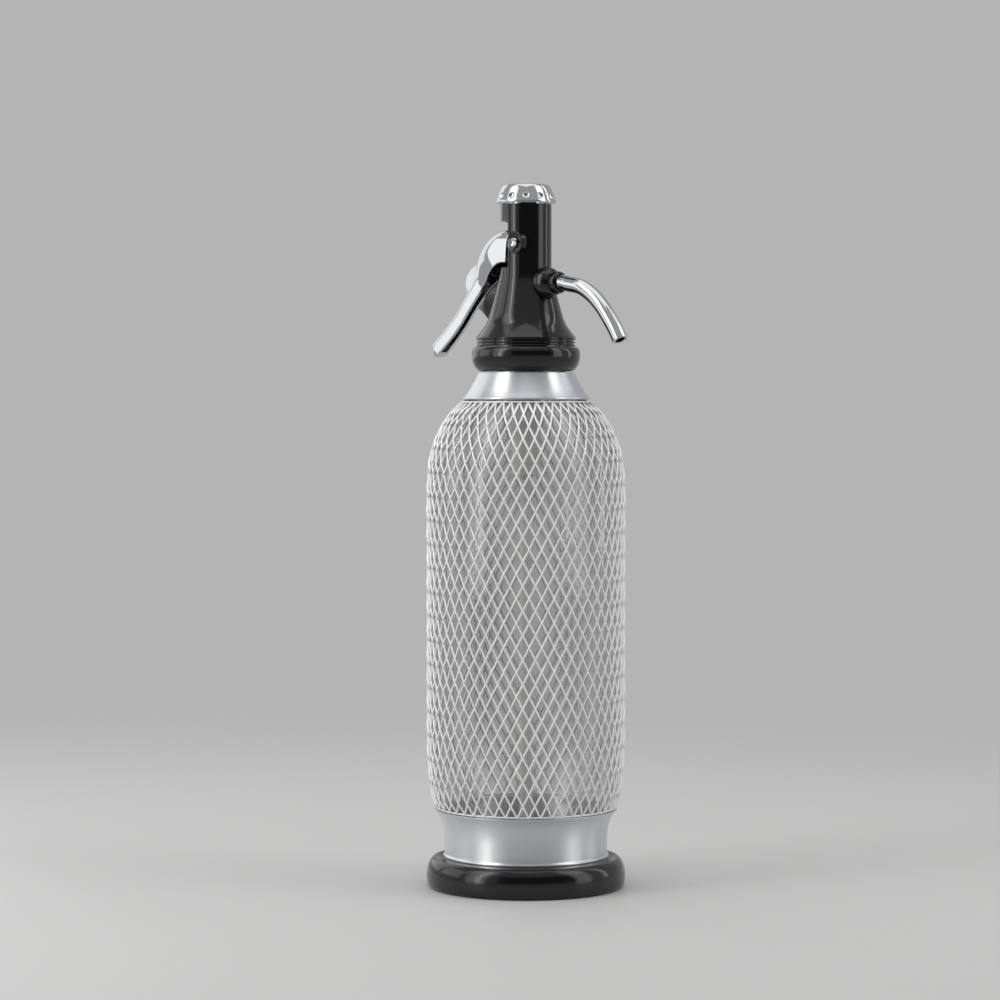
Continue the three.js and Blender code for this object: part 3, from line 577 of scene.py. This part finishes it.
class SIPHON_OT_wire_sleeve(Operator):
    """Woven wire sleeve: wires wind both ways round the bottle, over and under each other"""

    bl_idname = "siphon.wire_sleeve"
    bl_label = "Wire sleeve"

    def execute(self, context):
        settings = sizes()
        thickness = settings.wire_diameter / MILLIMETRE
        lift = settings.wire_gap / MILLIMETRE
        low, high = size_of("wire_mesh_sleeve")
        line = curve_through(body_line(), 6)
        rows, wires = settings.wire_rows, settings.wires
        steps = rows * 4
        play, end_gap = 0.1, 0.4  # room left outside the wires and at their ends
        margin = thickness / 2 + lift
        wound_by = math.tau * rows / wires
        for name, way in (("right", 1), ("left", -1)):
            rings = []
            for step in range(steps + 1):
                share = step / steps
                height = low.z + end_gap + share * (high.z - low.z - 2 * end_gap)
                over = way * lift * math.cos(math.tau * rows * share)
                radius = radius_at(line, height) - play - margin + over
                angle = way * wound_by * share
                slope = math.atan2(way * wound_by * radius, high.z - low.z)
                centre = Vector((radius * math.cos(angle), radius * math.sin(angle), height))
                out = Vector((math.cos(angle), math.sin(angle), 0))
                side = Vector((-math.sin(angle), math.cos(angle), 0))
                athwart = side * math.cos(slope) - Vector((0, 0, 1)) * math.sin(slope)
                rings.append(circle(centre, thickness / 2, out, athwart, WIRE_SIDES))
            body = swept(rings)
            bmesh.ops.holes_fill(body, edges=body.edges, sides=WIRE_SIDES)
            bmesh.ops.spin(
                body, geom=body.verts[:] + body.edges[:] + body.faces[:], cent=(0, 0, 0),
                axis=(0, 0, 1), angle=math.tau * (wires - 1) / wires, steps=wires - 1,
                use_duplicate=True,
            )
            add_piece(f"sleeve_wires_{name}", body, "wire_mesh_sleeve", sharp=80)
        hoops = []
        for height, wire in ((low.z + 0.6, 0.5), (high.z - 0.55, 0.45)):
            radius = radius_at(line, height) - wire - 0.6  # in the middle of the weave
            hoop = bmesh.new()
            bmesh.ops.create_circle(hoop, segments=10, radius=wire)
            place = Matrix.Translation((radius, 0, height)) @ Matrix.Rotation(math.pi / 2, 4, "X")
            moved(hoop, place)
            bmesh.ops.spin(
                hoop, geom=hoop.verts[:] + hoop.edges[:], cent=(0, 0, 0), axis=(0, 0, 1),
                angle=math.tau, steps=144, use_merge=True,
            )
            bmesh.ops.recalc_face_normals(hoop, faces=hoop.faces)
            hoops.append(hoop)
        add_piece("sleeve_hoops", joined(*hoops), "wire_mesh_sleeve", sharp=80)
        return {"FINISHED"}


class SIPHON_OT_neck(Operator):
    """Polished shroud over the bottle's neck, and the threaded ring inside the collar"""

    bl_idname = "siphon.neck"
    bl_label = "Neck shroud and ring"

    def execute(self, context):
        low, high = size_of("neck_shroud")
        wide, narrow, height = high.y, 25.1, high.z - low.z
        taper, sheet = wide - narrow, 1
        outer = [[wide - 0.6, low.z], [wide, low.z + 0.5], [wide - 0.2, low.z + 1.1]]
        outer += curve_through([
            [wide - 0.75, low.z + 1.5], [wide - 0.36 * taper, low.z + 0.3 * height],
            [wide - 0.7 * taper, low.z + 0.64 * height], [narrow, high.z],
        ], 5)
        inside = [[r - sheet, z] for r, z in reversed(outer[1:])]
        add_piece("neck_shroud_shell", turned([*outer, *inside], 144), "neck_shroud",
                  bevel=TURNED_EDGE)

        low, high = size_of("neck_ring")
        crest, bore, margin = high.y, 18.8, 1.2
        core = crest - 0.6
        ring = turned([[bore, low.z], [core, low.z], [core, high.z], [bore, high.z]], 72)
        pitch = sizes().thread_pitch / MILLIMETRE
        turns = (high.z - low.z - 2 * margin) / pitch
        ridge = [[core - 0.1, -0.7], [crest, -0.15], [crest, 0.15], [core - 0.1, 0.7]]
        thread = wound(ridge, turns, pitch, low.z + margin)
        add_piece("neck_thread_ring", joined(ring, thread), "neck_ring", bevel=THREAD_EDGE)
        return {"FINISHED"}


class SIPHON_OT_collar(Operator):
    """Bulging collar and the grooved band above it, with the socket that they turn with"""

    bl_idname = "siphon.collar"
    bl_label = "Collar and band"

    def execute(self, context):
        low, high = size_of("collar_ring")
        lower, upper, widest = 23.7, 26, 28.1
        swell = widest - (lower + upper) / 2
        bore, steps = 23, 24
        profile = [[bore, low.z]]
        for step in range(steps + 1):
            turn = math.pi * step / steps
            share = (1 - math.cos(turn)) / 2
            profile.append([
                lower + share * (upper - lower) + swell * math.sin(turn),
                low.z + share * (high.z - low.z),
            ])
        profile.append([bore, high.z])
        add_piece("collar", turned(profile, 144), "collar_ring", bevel=TURNED_EDGE)

        low, high = size_of("grooved_band")
        radius, depth, slot = high.y, 1, 0.8
        land = (high.z - low.z - 2 * slot) / 3
        profile = [[bore, low.z]]
        height = low.z
        for ridge in range(3):
            for turn in range(7):
                angle = math.pi * (turn / 6 - 0.5)
                profile.append([
                    radius - 0.5 + 0.5 * math.cos(angle),
                    height + land / 2 + land / 2 * math.sin(angle),
                ])
            height += land
            if ridge < 2:
                profile += [[radius - depth, height + 0.1], [radius - depth, height + slot - 0.1]]
                height += slot
        seat, top = radius - 1.6, high.z + 0.27
        profile += [[seat, high.z], [seat, top], [bore, top]]
        add_piece("ridged_band", turned(profile, 144), "grooved_band", sharp=60)

        low, high = size_of("head_socket")
        outside, inside = high.y, high.y - 1.8
        web, top, shank = 280.3, 283.8, 6.6
        profile = [
            [inside, low.z], [outside, low.z], [outside, high.z], [inside, high.z], [inside, top],
            [shank, top], [shank, web], [inside, web],
        ]
        add_piece("threaded_socket", turned(profile, 72), "head_socket", bevel=TURNED_EDGE)
        return {"FINISHED"}


def across(body, distance_x, height, side=1):
    """A turned body laid along the Y axis, with its upright axis pointing to one side."""
    place = Matrix.Translation((distance_x, 0, height))
    return moved(body, place @ Matrix.Rotation(-side * math.pi / 2, 4, "X"))


def forward(body, height):
    """A turned body laid along the X axis at a height."""
    place = Matrix.Translation((0, 0, height))
    return moved(body, place @ Matrix.Rotation(math.pi / 2, 4, "Y"))


def box(low, high):
    """An upright block between two corners."""
    body = bmesh.new()
    bmesh.ops.create_cube(body, size=1)
    size = [b - a for a, b in zip(low, high)]
    middle = [(a + b) / 2 for a, b in zip(low, high)]
    bmesh.ops.scale(body, vec=size, verts=body.verts)
    bmesh.ops.translate(body, vec=middle, verts=body.verts)
    return body


def holder_place():
    """Where the charger holder's own axis starts on the head, and how it is turned."""
    joints = {joint["name"]: joint for joint in frame["joints"]}
    start = Vector(joints["holder_turn"]["pos_m"]) / MILLIMETRE
    axis = Vector(joints["holder_turn"]["axis"])
    turn = Vector((0, 0, 1)).rotation_difference(axis)
    return Matrix.Translation(start) @ turn.to_matrix().to_4x4()


def hinge_place():
    """Distance from the axis and height of the lever's hinge."""
    joint = next(joint for joint in frame["joints"] if joint["name"] == "lever_press")
    return joint["pos_m"][0] / MILLIMETRE, joint["pos_m"][2] / MILLIMETRE


SPOUT_HEIGHT = sum(corner.z for corner in size_of("spout_nut")) / 2
COLUMN = 13.3  # radius of the head's column


def skirt_line(low, high):
    """Radius and height of the head cover's concave skirt."""
    wide, rise = high.y, 36.3
    rows = [[0, 0], [0.1, 0.23], [0.25, 0.485], [0.5, 0.69], [0.83, 0.923], [1, 1]]
    return curve_through(
        [[wide - share * (wide - COLUMN), low.z + part * rise] for part, share in rows], 6,
    )


class SIPHON_OT_head_cover(Operator):
    """Black cover: a concave skirt that runs up into a slotted column with the hinge's boss"""

    bl_idname = "siphon.head_cover"
    bl_label = "Head cover"

    def execute(self, context):
        low, high = size_of("head_cover")
        hinge_x, hinge_z = hinge_place()
        outer = [*skirt_line(low, high), [COLUMN, high.z]]
        wall, reach, slot_floor, slot_top = 2.3, COLUMN + 2, low.z + 36.4, low.z + 60.5
        inside = [[r - wall, z] for r, z in reversed(outer)]
        body = turned([*outer, *inside], 128)
        slot = box((-reach, -reach, slot_floor), (0, reach, slot_top))
        body = combined(body, slot, "DIFFERENCE")
        boss = turned([
            [0, 10.5], [5.85, 10.5], [5.85, 13.5], [5.5, 13.85], [5.2, 13.9], [4.9, 13.8],
            [2.4, 12.8], [0, 12.8],
        ], 64)
        body = combined(body, across(boss, hinge_x, hinge_z, -1), "UNION")
        pin_hole = across(rod(HINGE_BORE, -reach, reach), hinge_x, hinge_z)
        body = combined(body, pin_hole, "DIFFERENCE")
        body = combined(body, forward(rod(SPOUT_BORE, 0, 24), SPOUT_HEIGHT), "DIFFERENCE")
        body = combined(body, moved(rod(STUB_HOLE, 0, 37), holder_place()), "DIFFERENCE")
        add_piece("cover_shell", body, "head_cover", bevel=sizes().edge)
        return {"FINISHED"}


class SIPHON_OT_cap(Operator):
    """Chrome cap with a ring of shallow hollows"""

    bl_idname = "siphon.cap"
    bl_label = "Cap"

    def execute(self, context):
        low, high = size_of("top_cap")
        bottom, top, wide, neck = high.z - 10.1, high.z, 15.6, 10.7
        hollow_count, hollow_ring, hollow_height, hollow_radius = 12, 16.3, bottom + 4.2, 2.6
        side = curve_through([
            [wide - 0.6, bottom], [wide, bottom + 0.8], [wide - 0.5, bottom + 2.6],
            [wide - 1.5, bottom + 5.6], [wide - 2.6, bottom + 8.2], [wide - 3.7, bottom + 9.6],
            [wide - 5.2, top],
        ], 5)
        profile = [[0, low.z], [neck, low.z], [neck, bottom], *side, [0, top]]
        body = turned(profile, 144)
        hollows = []
        for place in ring_of_points(hollow_count, hollow_ring, hollow_height, start=0.5):
            hollow = bmesh.new()
            bmesh.ops.create_uvsphere(
                hollow, u_segments=32, v_segments=20, radius=hollow_radius,
            )
            hollows.append(moved(hollow, Matrix.Translation(place)))
        body = combined(body, joined(*hollows), "DIFFERENCE")
        add_piece("chrome_cap", body, "top_cap", bevel=SOFT_EDGE, sharp=30)
        return {"FINISHED"}


LEVER_REACH, LEVER_DROP, LEVER_HALF_WIDTH, LEVER_DEPTH, LEVER_CHEEK = 75, 60, 12.9, 12.5, 7.5

# Cross-sections of the lever from the hinge outwards: reach, drop, lean in degrees, half width,
# depth and length of the cheeks, each but the lean as a share of the size above
LEVER_ROWS = [
    [0.093, 0.065, -4, 1, 0.912, 0.827], [0.19, 0.075, 12, 0.977, 0.94, 0.773],
    [0.295, 0.122, 32, 0.868, 0.896, 0.8], [0.384, 0.202, 48, 0.651, 0.808, 0.693],
    [0.461, 0.298, 54, 0.357, 0.6, 0.533], [0.541, 0.405, 54, 0.275, 0.448, 0.48],
    [0.629, 0.528, 51, 0.256, 0.384, 0.44], [0.715, 0.662, 48, 0.252, 0.4, 0.4],
    [0.817, 0.792, 46, 0.264, 0.432, 0.373], [0.917, 0.907, 45, 0.295, 0.48, 0.32],
]
LEVER_TIP = [[0.936, 0.938, 45, 0.27, 0.43, 0.25], [0.96, 0.968, 45, 0.16, 0.26, 0.11]]


def lever_sections(rows, steps, shrink=0, below=0):
    """Rings of points of the half-pipe lever, squarish where it's level and round where it leans.

    Shrink draws the back and cheeks in, and below lets the cheeks reach further down.
    """
    hinge_x, hinge_z = hinge_place()
    rings = []
    for reach, drop, lean, width, depth, cheek in curve_through(rows, steps):
        lean = math.radians(lean)
        square = 2 / (2 + 1.4 * max(0, math.cos(lean)) ** 6)
        half, back = LEVER_HALF_WIDTH * width - shrink, LEVER_DEPTH * depth - shrink
        low = -LEVER_CHEEK * cheek - below
        outline = [(half, low)]
        for step in range(21):
            angle = math.pi * step / 20
            side = math.copysign(abs(math.cos(angle)) ** square, math.cos(angle))
            outline.append((half * side, back * math.sin(angle) ** square))
        outline.append((-half, low))
        rings.append([
            (
                hinge_x - LEVER_REACH * reach - rise * math.sin(lean), side,
                hinge_z - LEVER_DROP * drop + rise * math.cos(lean),
            )
            for side, rise in outline
        ])
    return rings


def closed_sweep(rings):
    """A skin over rings, with a face on the first and the last."""
    body = swept(rings)
    bmesh.ops.holes_fill(body, edges=body.edges, sides=len(rings[0]))
    bmesh.ops.recalc_face_normals(body, faces=body.faces)
    return body


class SIPHON_OT_lever(Operator):
    """Chrome lever, a broad hood that narrows to a half-pipe arm, and the pin that it turns on"""

    bl_idname = "siphon.lever"
    bl_label = "Lever and hinge pin"

    def execute(self, context):
        hinge_x, hinge_z = hinge_place()
        sheet, clear = 1.6, 3
        hollow = lever_sections(LEVER_ROWS, 5, shrink=sheet, below=clear)
        front = [(x + clear, y, z) for x, y, z in hollow[0]]
        shell = closed_sweep(lever_sections(LEVER_ROWS + LEVER_TIP, 5))
        body = combined(shell, closed_sweep([front, *hollow]), "DIFFERENCE")
        add_piece("lever_arm", body, "lever", bevel=LEVER_EDGE)

        half, knuckle = 4, 4.8
        web = box((-16, -half, hinge_z - knuckle), (0, half, hinge_z + 20))
        inner = closed_sweep(lever_sections(LEVER_ROWS, 5, shrink=0.8))
        web = combined(web, inner, "INTERSECT")
        tongue = combined(
            box((-2, -half, hinge_z - knuckle), (hinge_x, half, hinge_z + knuckle)),
            across(rod(knuckle, -half, half), hinge_x, hinge_z), "UNION",
        )
        pin_hole = across(rod(HINGE_BORE, -2 * half, 2 * half), hinge_x, hinge_z)
        tongue = combined(tongue, pin_hole, "DIFFERENCE")
        add_piece("lever_tongue", joined(web, tongue), "lever", bevel=SOFT_EDGE)

        low, high = size_of("hinge_pin")
        near, far = -low.y, -high.y
        profile = [
            [0, far], [1.4, far], [2, far + 0.2], [2.4, far + 0.6], [2.4, near - 0.6],
            [2.25, near - 0.15], [2, near], [1.8, near - 0.1], [0, near - 1.5],
        ]
        add_piece("lever_pin", across(turned(profile, 48), hinge_x, hinge_z, -1), "hinge_pin")
        return {"FINISHED"}


SPOUT_REACH, SPOUT_DROP, PIPE_RADIUS = 67.4, 30.2, 4
SPOUT_ROWS = [  # shares of the reach and the drop along the spout's bend
    [0.156, 0], [0.377, 0], [0.47, 0.036], [0.589, 0.089], [0.706, 0.228], [0.804, 0.414],
    [0.883, 0.619], [0.948, 0.811], [1, 1],
]


class SIPHON_OT_spout(Operator):
    """Ball on the column, its socket ring and the bent chrome spout"""

    bl_idname = "siphon.spout"
    bl_label = "Spout"

    def execute(self, context):
        low, high = size_of("head_cover")
        gap, reach, ball_radius, ball_centre = 0.3, 10, 8.4, 15
        ball = bmesh.new()
        bmesh.ops.create_uvsphere(ball, u_segments=72, v_segments=40, radius=ball_radius)
        ball = forward(moved(ball, Matrix.Translation((0, 0, ball_centre))), SPOUT_HEIGHT)
        room = [[r + gap, z] for r, z in skirt_line(low, high)]
        room = turned([[0, low.z], *room, [COLUMN + gap, high.z], [0, high.z]], 128)
        ball = combined(ball, room, "DIFFERENCE")
        ball = combined(ball, forward(rod(SPOUT_BORE, 0, 32), SPOUT_HEIGHT), "DIFFERENCE")
        face = box((21.3, -reach, SPOUT_HEIGHT - reach), (30, reach, SPOUT_HEIGHT + reach))
        ball = combined(ball, face, "DIFFERENCE")
        add_piece("spout_ball", ball, "spout_boss", bevel=TURNED_EDGE)

        low, high = size_of("spout_nut")
        start, end, outside = low.x, high.x, high.y
        ring = [
            [SPOUT_BORE, start], [outside, start], [outside, end - 1],
            [outside - 0.3, end - 0.4], [outside - 0.9, end], [SPOUT_BORE, end],
        ]
        add_piece("spout_ring", forward(turned(ring, 96), SPOUT_HEIGHT), "spout_nut",
                  bevel=TURNED_EDGE)

        path = [
            Vector((SPOUT_REACH * reach, 0, SPOUT_HEIGHT - SPOUT_DROP * drop))
            for reach, drop in curve_through(SPOUT_ROWS, 7)
        ]
        rings = []
        for before, point, after in zip([path[0], *path], path, [*path[1:], path[-1]]):
            run = (after - before).normalized()
            above = Vector((-run.z, 0, run.x))
            rings.append(circle(point, PIPE_RADIUS, above, Vector((0, 1, 0)), 48))
        add_piece("spout_pipe", swept(rings), "spout_tube", wall=1.4, bevel=SOFT_EDGE)
        return {"FINISHED"}


class SIPHON_OT_charger_holder(Operator):
    """Charger holder: stub with its thread, dark sleeve, domed end and the charger inside"""

    bl_idname = "siphon.charger_holder"
    bl_label = "Charger holder"

    def execute(self, context):
        place = holder_place()
        pitch, thread_start, thread_length = 1.6, 16, 9
        core = turned([
            [1.4, 0], [6.2, 0], [6.2, 14.5], [5.75, 14.5], [5.75, 26], [4.8, 26], [4.8, 15],
            [1.4, 15],
        ], 64)
        ridge = [[5.65, -0.45], [6.2, -0.1], [6.2, 0.1], [5.65, 0.45]]
        thread = wound(ridge, thread_length / pitch, pitch, thread_start)
        block_room = rod(10.5, 280, 310, 96)
        stub = combined(moved(core, place), block_room, "DIFFERENCE")
        add_piece("holder_stub", joined(stub, moved(thread, place)), "charger_stub",
                  bevel=THREAD_EDGE)

        nose = curve_through([
            [8, 28.6], [8.3, 29.6], [9.4, 31.8], [11.6, 35.4], [12.6, 36.8], [12.9, 38],
        ], 4)
        profile = [
            [6.5, 20], [8, 20], *nose, [12.9, 56.7], [11.5, 56.7], [11.5, 61.7], [9.7, 61.7],
            [9.7, 37.5], [6.5, 29.2],
        ]
        add_piece("holder_body", moved(turned(profile, 96), place), "holder_sleeve",
                  bevel=sizes().edge)

        mouth, centre, bore = 57, 69, 11.8

        def dome(radius):
            """Points of a quarter circle from the dome's rim to its pole."""
            turns = [math.pi / 2 * step / 20 for step in range(20)]
            quarter = [[radius * math.cos(t), centre + radius * math.sin(t)] for t in turns]
            return [*quarter, [0, centre + radius]]

        profile = [[bore, mouth], [13.4, mouth], *dome(13.39), *reversed(dome(bore))]
        add_piece("holder_end", moved(turned(profile, 96), place), "holder_dome",
                  bevel=SOFT_EDGE)

        body = curve_through([
            [4.4, 23.5], [4.6, 25.4], [5.9, 29.2], [7.7, 33.4], [9, 37], [9.3, 40.5], [9.3, 55],
            [9.3, 70], [8.6, 74.6], [6.2, 78.6], [3, 80.2], [0.2, 80.5],
        ], 4)
        profile = [[0, 19.3], [1.4, 19.3], [1.4, 16], [3.6, 16], [4.4, 16.8], *body, [0, 80.5]]
        add_piece("gas_charger", moved(turned(profile, 64), place), "charger")
        dress("piercing_pin", "stub_seal")
        return {"FINISHED"}


class SIPHON_OT_valve(Operator):
    """Finishes of the valve inside the head"""

    bl_idname = "siphon.valve"
    bl_label = "Valve"

    def execute(self, context):
        dress("valve_block", "valve_seat", "stem_seal", "valve_stem", "valve_plug", "valve_spring")
        return {"FINISHED"}


# Studio ------------------------------------------------------------------------------------


def seen_directly(tree):
    """1 for the rays that show the background, straight or in metal and glass."""
    path = add_node(tree, "ShaderNodeLightPath").outputs
    either = add_node(tree, "ShaderNodeMath", {
        0: path["Is Camera Ray"], 1: path["Is Glossy Ray"],
    }, operation="MAXIMUM")
    return add_node(tree, "ShaderNodeMath", {
        0: either.outputs[0], 1: path["Is Transmission Ray"],
    }, operation="MAXIMUM").outputs[0]


CAMERA_RIGHT = Vector((math.sqrt(0.5), math.sqrt(0.5), 0))
TO_CAMERA = Vector((math.sqrt(0.5), -math.sqrt(0.5), 0))
LAMP_AIM = Vector((0, 0, 0.25))
LAMPS = (  # name, place (to the camera's right, towards it, up), width, height, watts
    ("left_lamp", (-1.0, 0.56, 0.75), 0.6, 1.5, 3.6),
    ("left_strip", (-0.92, 0.6, 0.75), 0.14, 1.4, 2),
    ("right_lamp", (1.1, 0.4, 0.75), 0.55, 1.5, 3.2),
    ("right_strip", (1.1, -0.3, 0.75), 0.1, 1.4, 1.1),
    ("side_lamp", (-1.15, -0.2, 0.52), 0.7, 0.65, 1.4),
    ("back_lamp", (-0.8, -1.0, 0.7), 0.9, 1.1, 2.2),
    ("high_left_lamp", (-0.95, 0.25, 1.3), 0.5, 0.9, 1.3),
    ("high_right_lamp", (0.95, 0.25, 1.3), 0.5, 0.9, 1.3),
    ("overhead_lamp", (0, 0, 1.7), 1.2, 1.2, 4),
)
CAMERA_PLACE, CAMERA_LENS = (1.1314, -1.1314, 0.254), 110.5
CAMERA_DIP, CAMERA_SWING = 1.867, 0.485  # degrees below level, and to the left of the axis
CARD_RADIUS, CARD_HEIGHTS, CARD_SHADE = 1.3, (0.16, 0.95), (0.07, 0.07, 0.07, 1)
CARD_START, CARD_SPAN = -32, 92  # degrees round from the camera


def add_lamp(name, place, width, height, power):
    """A soft rectangular lamp that faces the siphon."""
    light = bpy.data.lights.new(name, "AREA")
    light.shape = "RECTANGLE"
    light.size, light.size_y, light.energy = width, height, power
    right, towards, up = place
    lamp = bpy.data.objects.new(name, light)
    lamp.location = CAMERA_RIGHT * right + TO_CAMERA * towards + Vector((0, 0, up))
    lamp.rotation_euler = (LAMP_AIM - lamp.location).to_track_quat("-Z", "Y").to_euler()
    bpy.context.scene.collection.objects.link(lamp)


def floor_material():
    """A pale floor that fades into the surroundings, as they are seen, away from the siphon."""
    material = bpy.data.materials.new("pale_floor")
    tree = blank_tree(material)
    plain = add_node(tree, "ShaderNodeBsdfPrincipled", {
        "Base Color": (*colours().floor, 1), "Roughness": 0.5,
    })
    pale = add_node(tree, "ShaderNodeEmission", {"Color": (*colours().backdrop, 1)})
    place = add_node(tree, "ShaderNodeTexCoord").outputs["Object"]
    reach = add_node(tree, "ShaderNodeVectorMath", {0: place}, operation="LENGTH")
    fade = add_node(tree, "ShaderNodeMapRange", {
        "Value": reach.outputs["Value"], "From Min": 0.25, "From Max": 1.1,
    }, interpolation_type="SMOOTHSTEP")
    shown = add_node(tree, "ShaderNodeMath", {
        0: fade.outputs["Result"], 1: seen_directly(tree),
    }, operation="MULTIPLY")
    mix = add_node(tree, "ShaderNodeMixShader", {
        0: shown.outputs[0], 1: plain.outputs["BSDF"], 2: pale.outputs["Emission"],
    })
    add_node(tree, "ShaderNodeOutputMaterial", {"Surface": mix.outputs["Shader"]})
    return material


class SIPHON_OT_stage(Operator):
    """Pale floor and surroundings, soft lamps and the camera"""

    bl_idname = "siphon.stage"
    bl_label = "Studio"

    def execute(self, context):
        scene = context.scene
        scene.view_settings.view_transform = "Standard"

        sheet = bmesh.new()
        bmesh.ops.create_circle(sheet, cap_ends=True, segments=96, radius=6)
        floor = add_object("studio_floor", sheet, floor_material())

        scene.world = bpy.data.worlds.new("pale_surroundings")
        tree = blank_tree(scene.world)
        even_light = (0.45, 0.45, 0.45)
        light = colour_mix(tree, seen_directly(tree), even_light, colours().backdrop)
        sky = add_node(tree, "ShaderNodeBackground", {"Color": light})
        add_node(tree, "ShaderNodeOutputWorld", {"Surface": sky.outputs["Background"]})

        for row in LAMPS:
            add_lamp(*row)
        self.add_dark_card()

        camera = bpy.data.objects.new("camera", bpy.data.cameras.new("camera"))
        camera.data.lens = CAMERA_LENS
        camera.location = CAMERA_PLACE
        camera.rotation_euler = (
            math.radians(90 - CAMERA_DIP), 0, math.radians(45 + CAMERA_SWING),
        )
        scene.collection.objects.link(camera)
        scene.camera = camera
        return {"FINISHED"}

    def add_dark_card(self):
        """A curved dark card that only reflections show, as black card gives them in a studio."""
        start = math.atan2(TO_CAMERA.y, TO_CAMERA.x) + math.radians(CARD_START)
        x, y = CARD_RADIUS * math.cos(start), CARD_RADIUS * math.sin(start)
        sheet = bmesh.new()
        points = [sheet.verts.new((x, y, height)) for height in CARD_HEIGHTS]
        bmesh.ops.spin(
            sheet, geom=points + [sheet.edges.new(points)], cent=(0, 0, 0), axis=(0, 0, 1),
            angle=math.radians(CARD_SPAN), steps=24,
        )
        material = bpy.data.materials.new("dark_card")
        tree = blank_tree(material)
        glow = add_node(tree, "ShaderNodeEmission", {"Color": CARD_SHADE})
        add_node(tree, "ShaderNodeOutputMaterial", {"Surface": glow.outputs["Emission"]})
        card = add_object("dark_card", sheet, material)
        for rays in ("camera", "diffuse", "transmission", "shadow", "volume_scatter"):
            setattr(card, f"visible_{rays}", False)


# Add-on ------------------------------------------------------------------------------------

STEPS = (
    SIPHON_OT_stage, SIPHON_OT_foot_and_cup, SIPHON_OT_bottle, SIPHON_OT_wire_sleeve,
    SIPHON_OT_neck, SIPHON_OT_collar, SIPHON_OT_head_cover, SIPHON_OT_cap, SIPHON_OT_lever,
    SIPHON_OT_spout, SIPHON_OT_charger_holder, SIPHON_OT_valve,
)


class SIPHON_PT_sidebar(Panel):
    """Lists the siphon's pieces, sizes and colours in the sidebar."""

    bl_idname = "SIPHON_PT_sidebar"
    bl_label = "Soda siphon"
    bl_space_type = "VIEW_3D"
    bl_region_type = "UI"
    bl_category = "Siphon"

    def draw(self, context):
        layout = self.layout
        for group in (context.scene.siphon_sizes, context.scene.siphon_colours):
            column = layout.column(align=True)
            for name in group.__annotations__:
                column.prop(group, name)
        for step in STEPS:
            layout.operator(step.bl_idname)


CLASSES = (SiphonSizes, SiphonColours, *STEPS, SIPHON_PT_sidebar)


def register():
    for item in CLASSES:
        bpy.utils.register_class(item)
    bpy.types.Scene.siphon_sizes = PointerProperty(type=SiphonSizes)
    bpy.types.Scene.siphon_colours = PointerProperty(type=SiphonColours)


def unregister():
    del bpy.types.Scene.siphon_colours
    del bpy.types.Scene.siphon_sizes
    for item in reversed(CLASSES):
        bpy.utils.unregister_class(item)


def main():
    register()
    for step in STEPS:
        group, name = step.bl_idname.split(".")
        getattr(getattr(bpy.ops, group), name)()


if __name__ == "__main__":
    main()
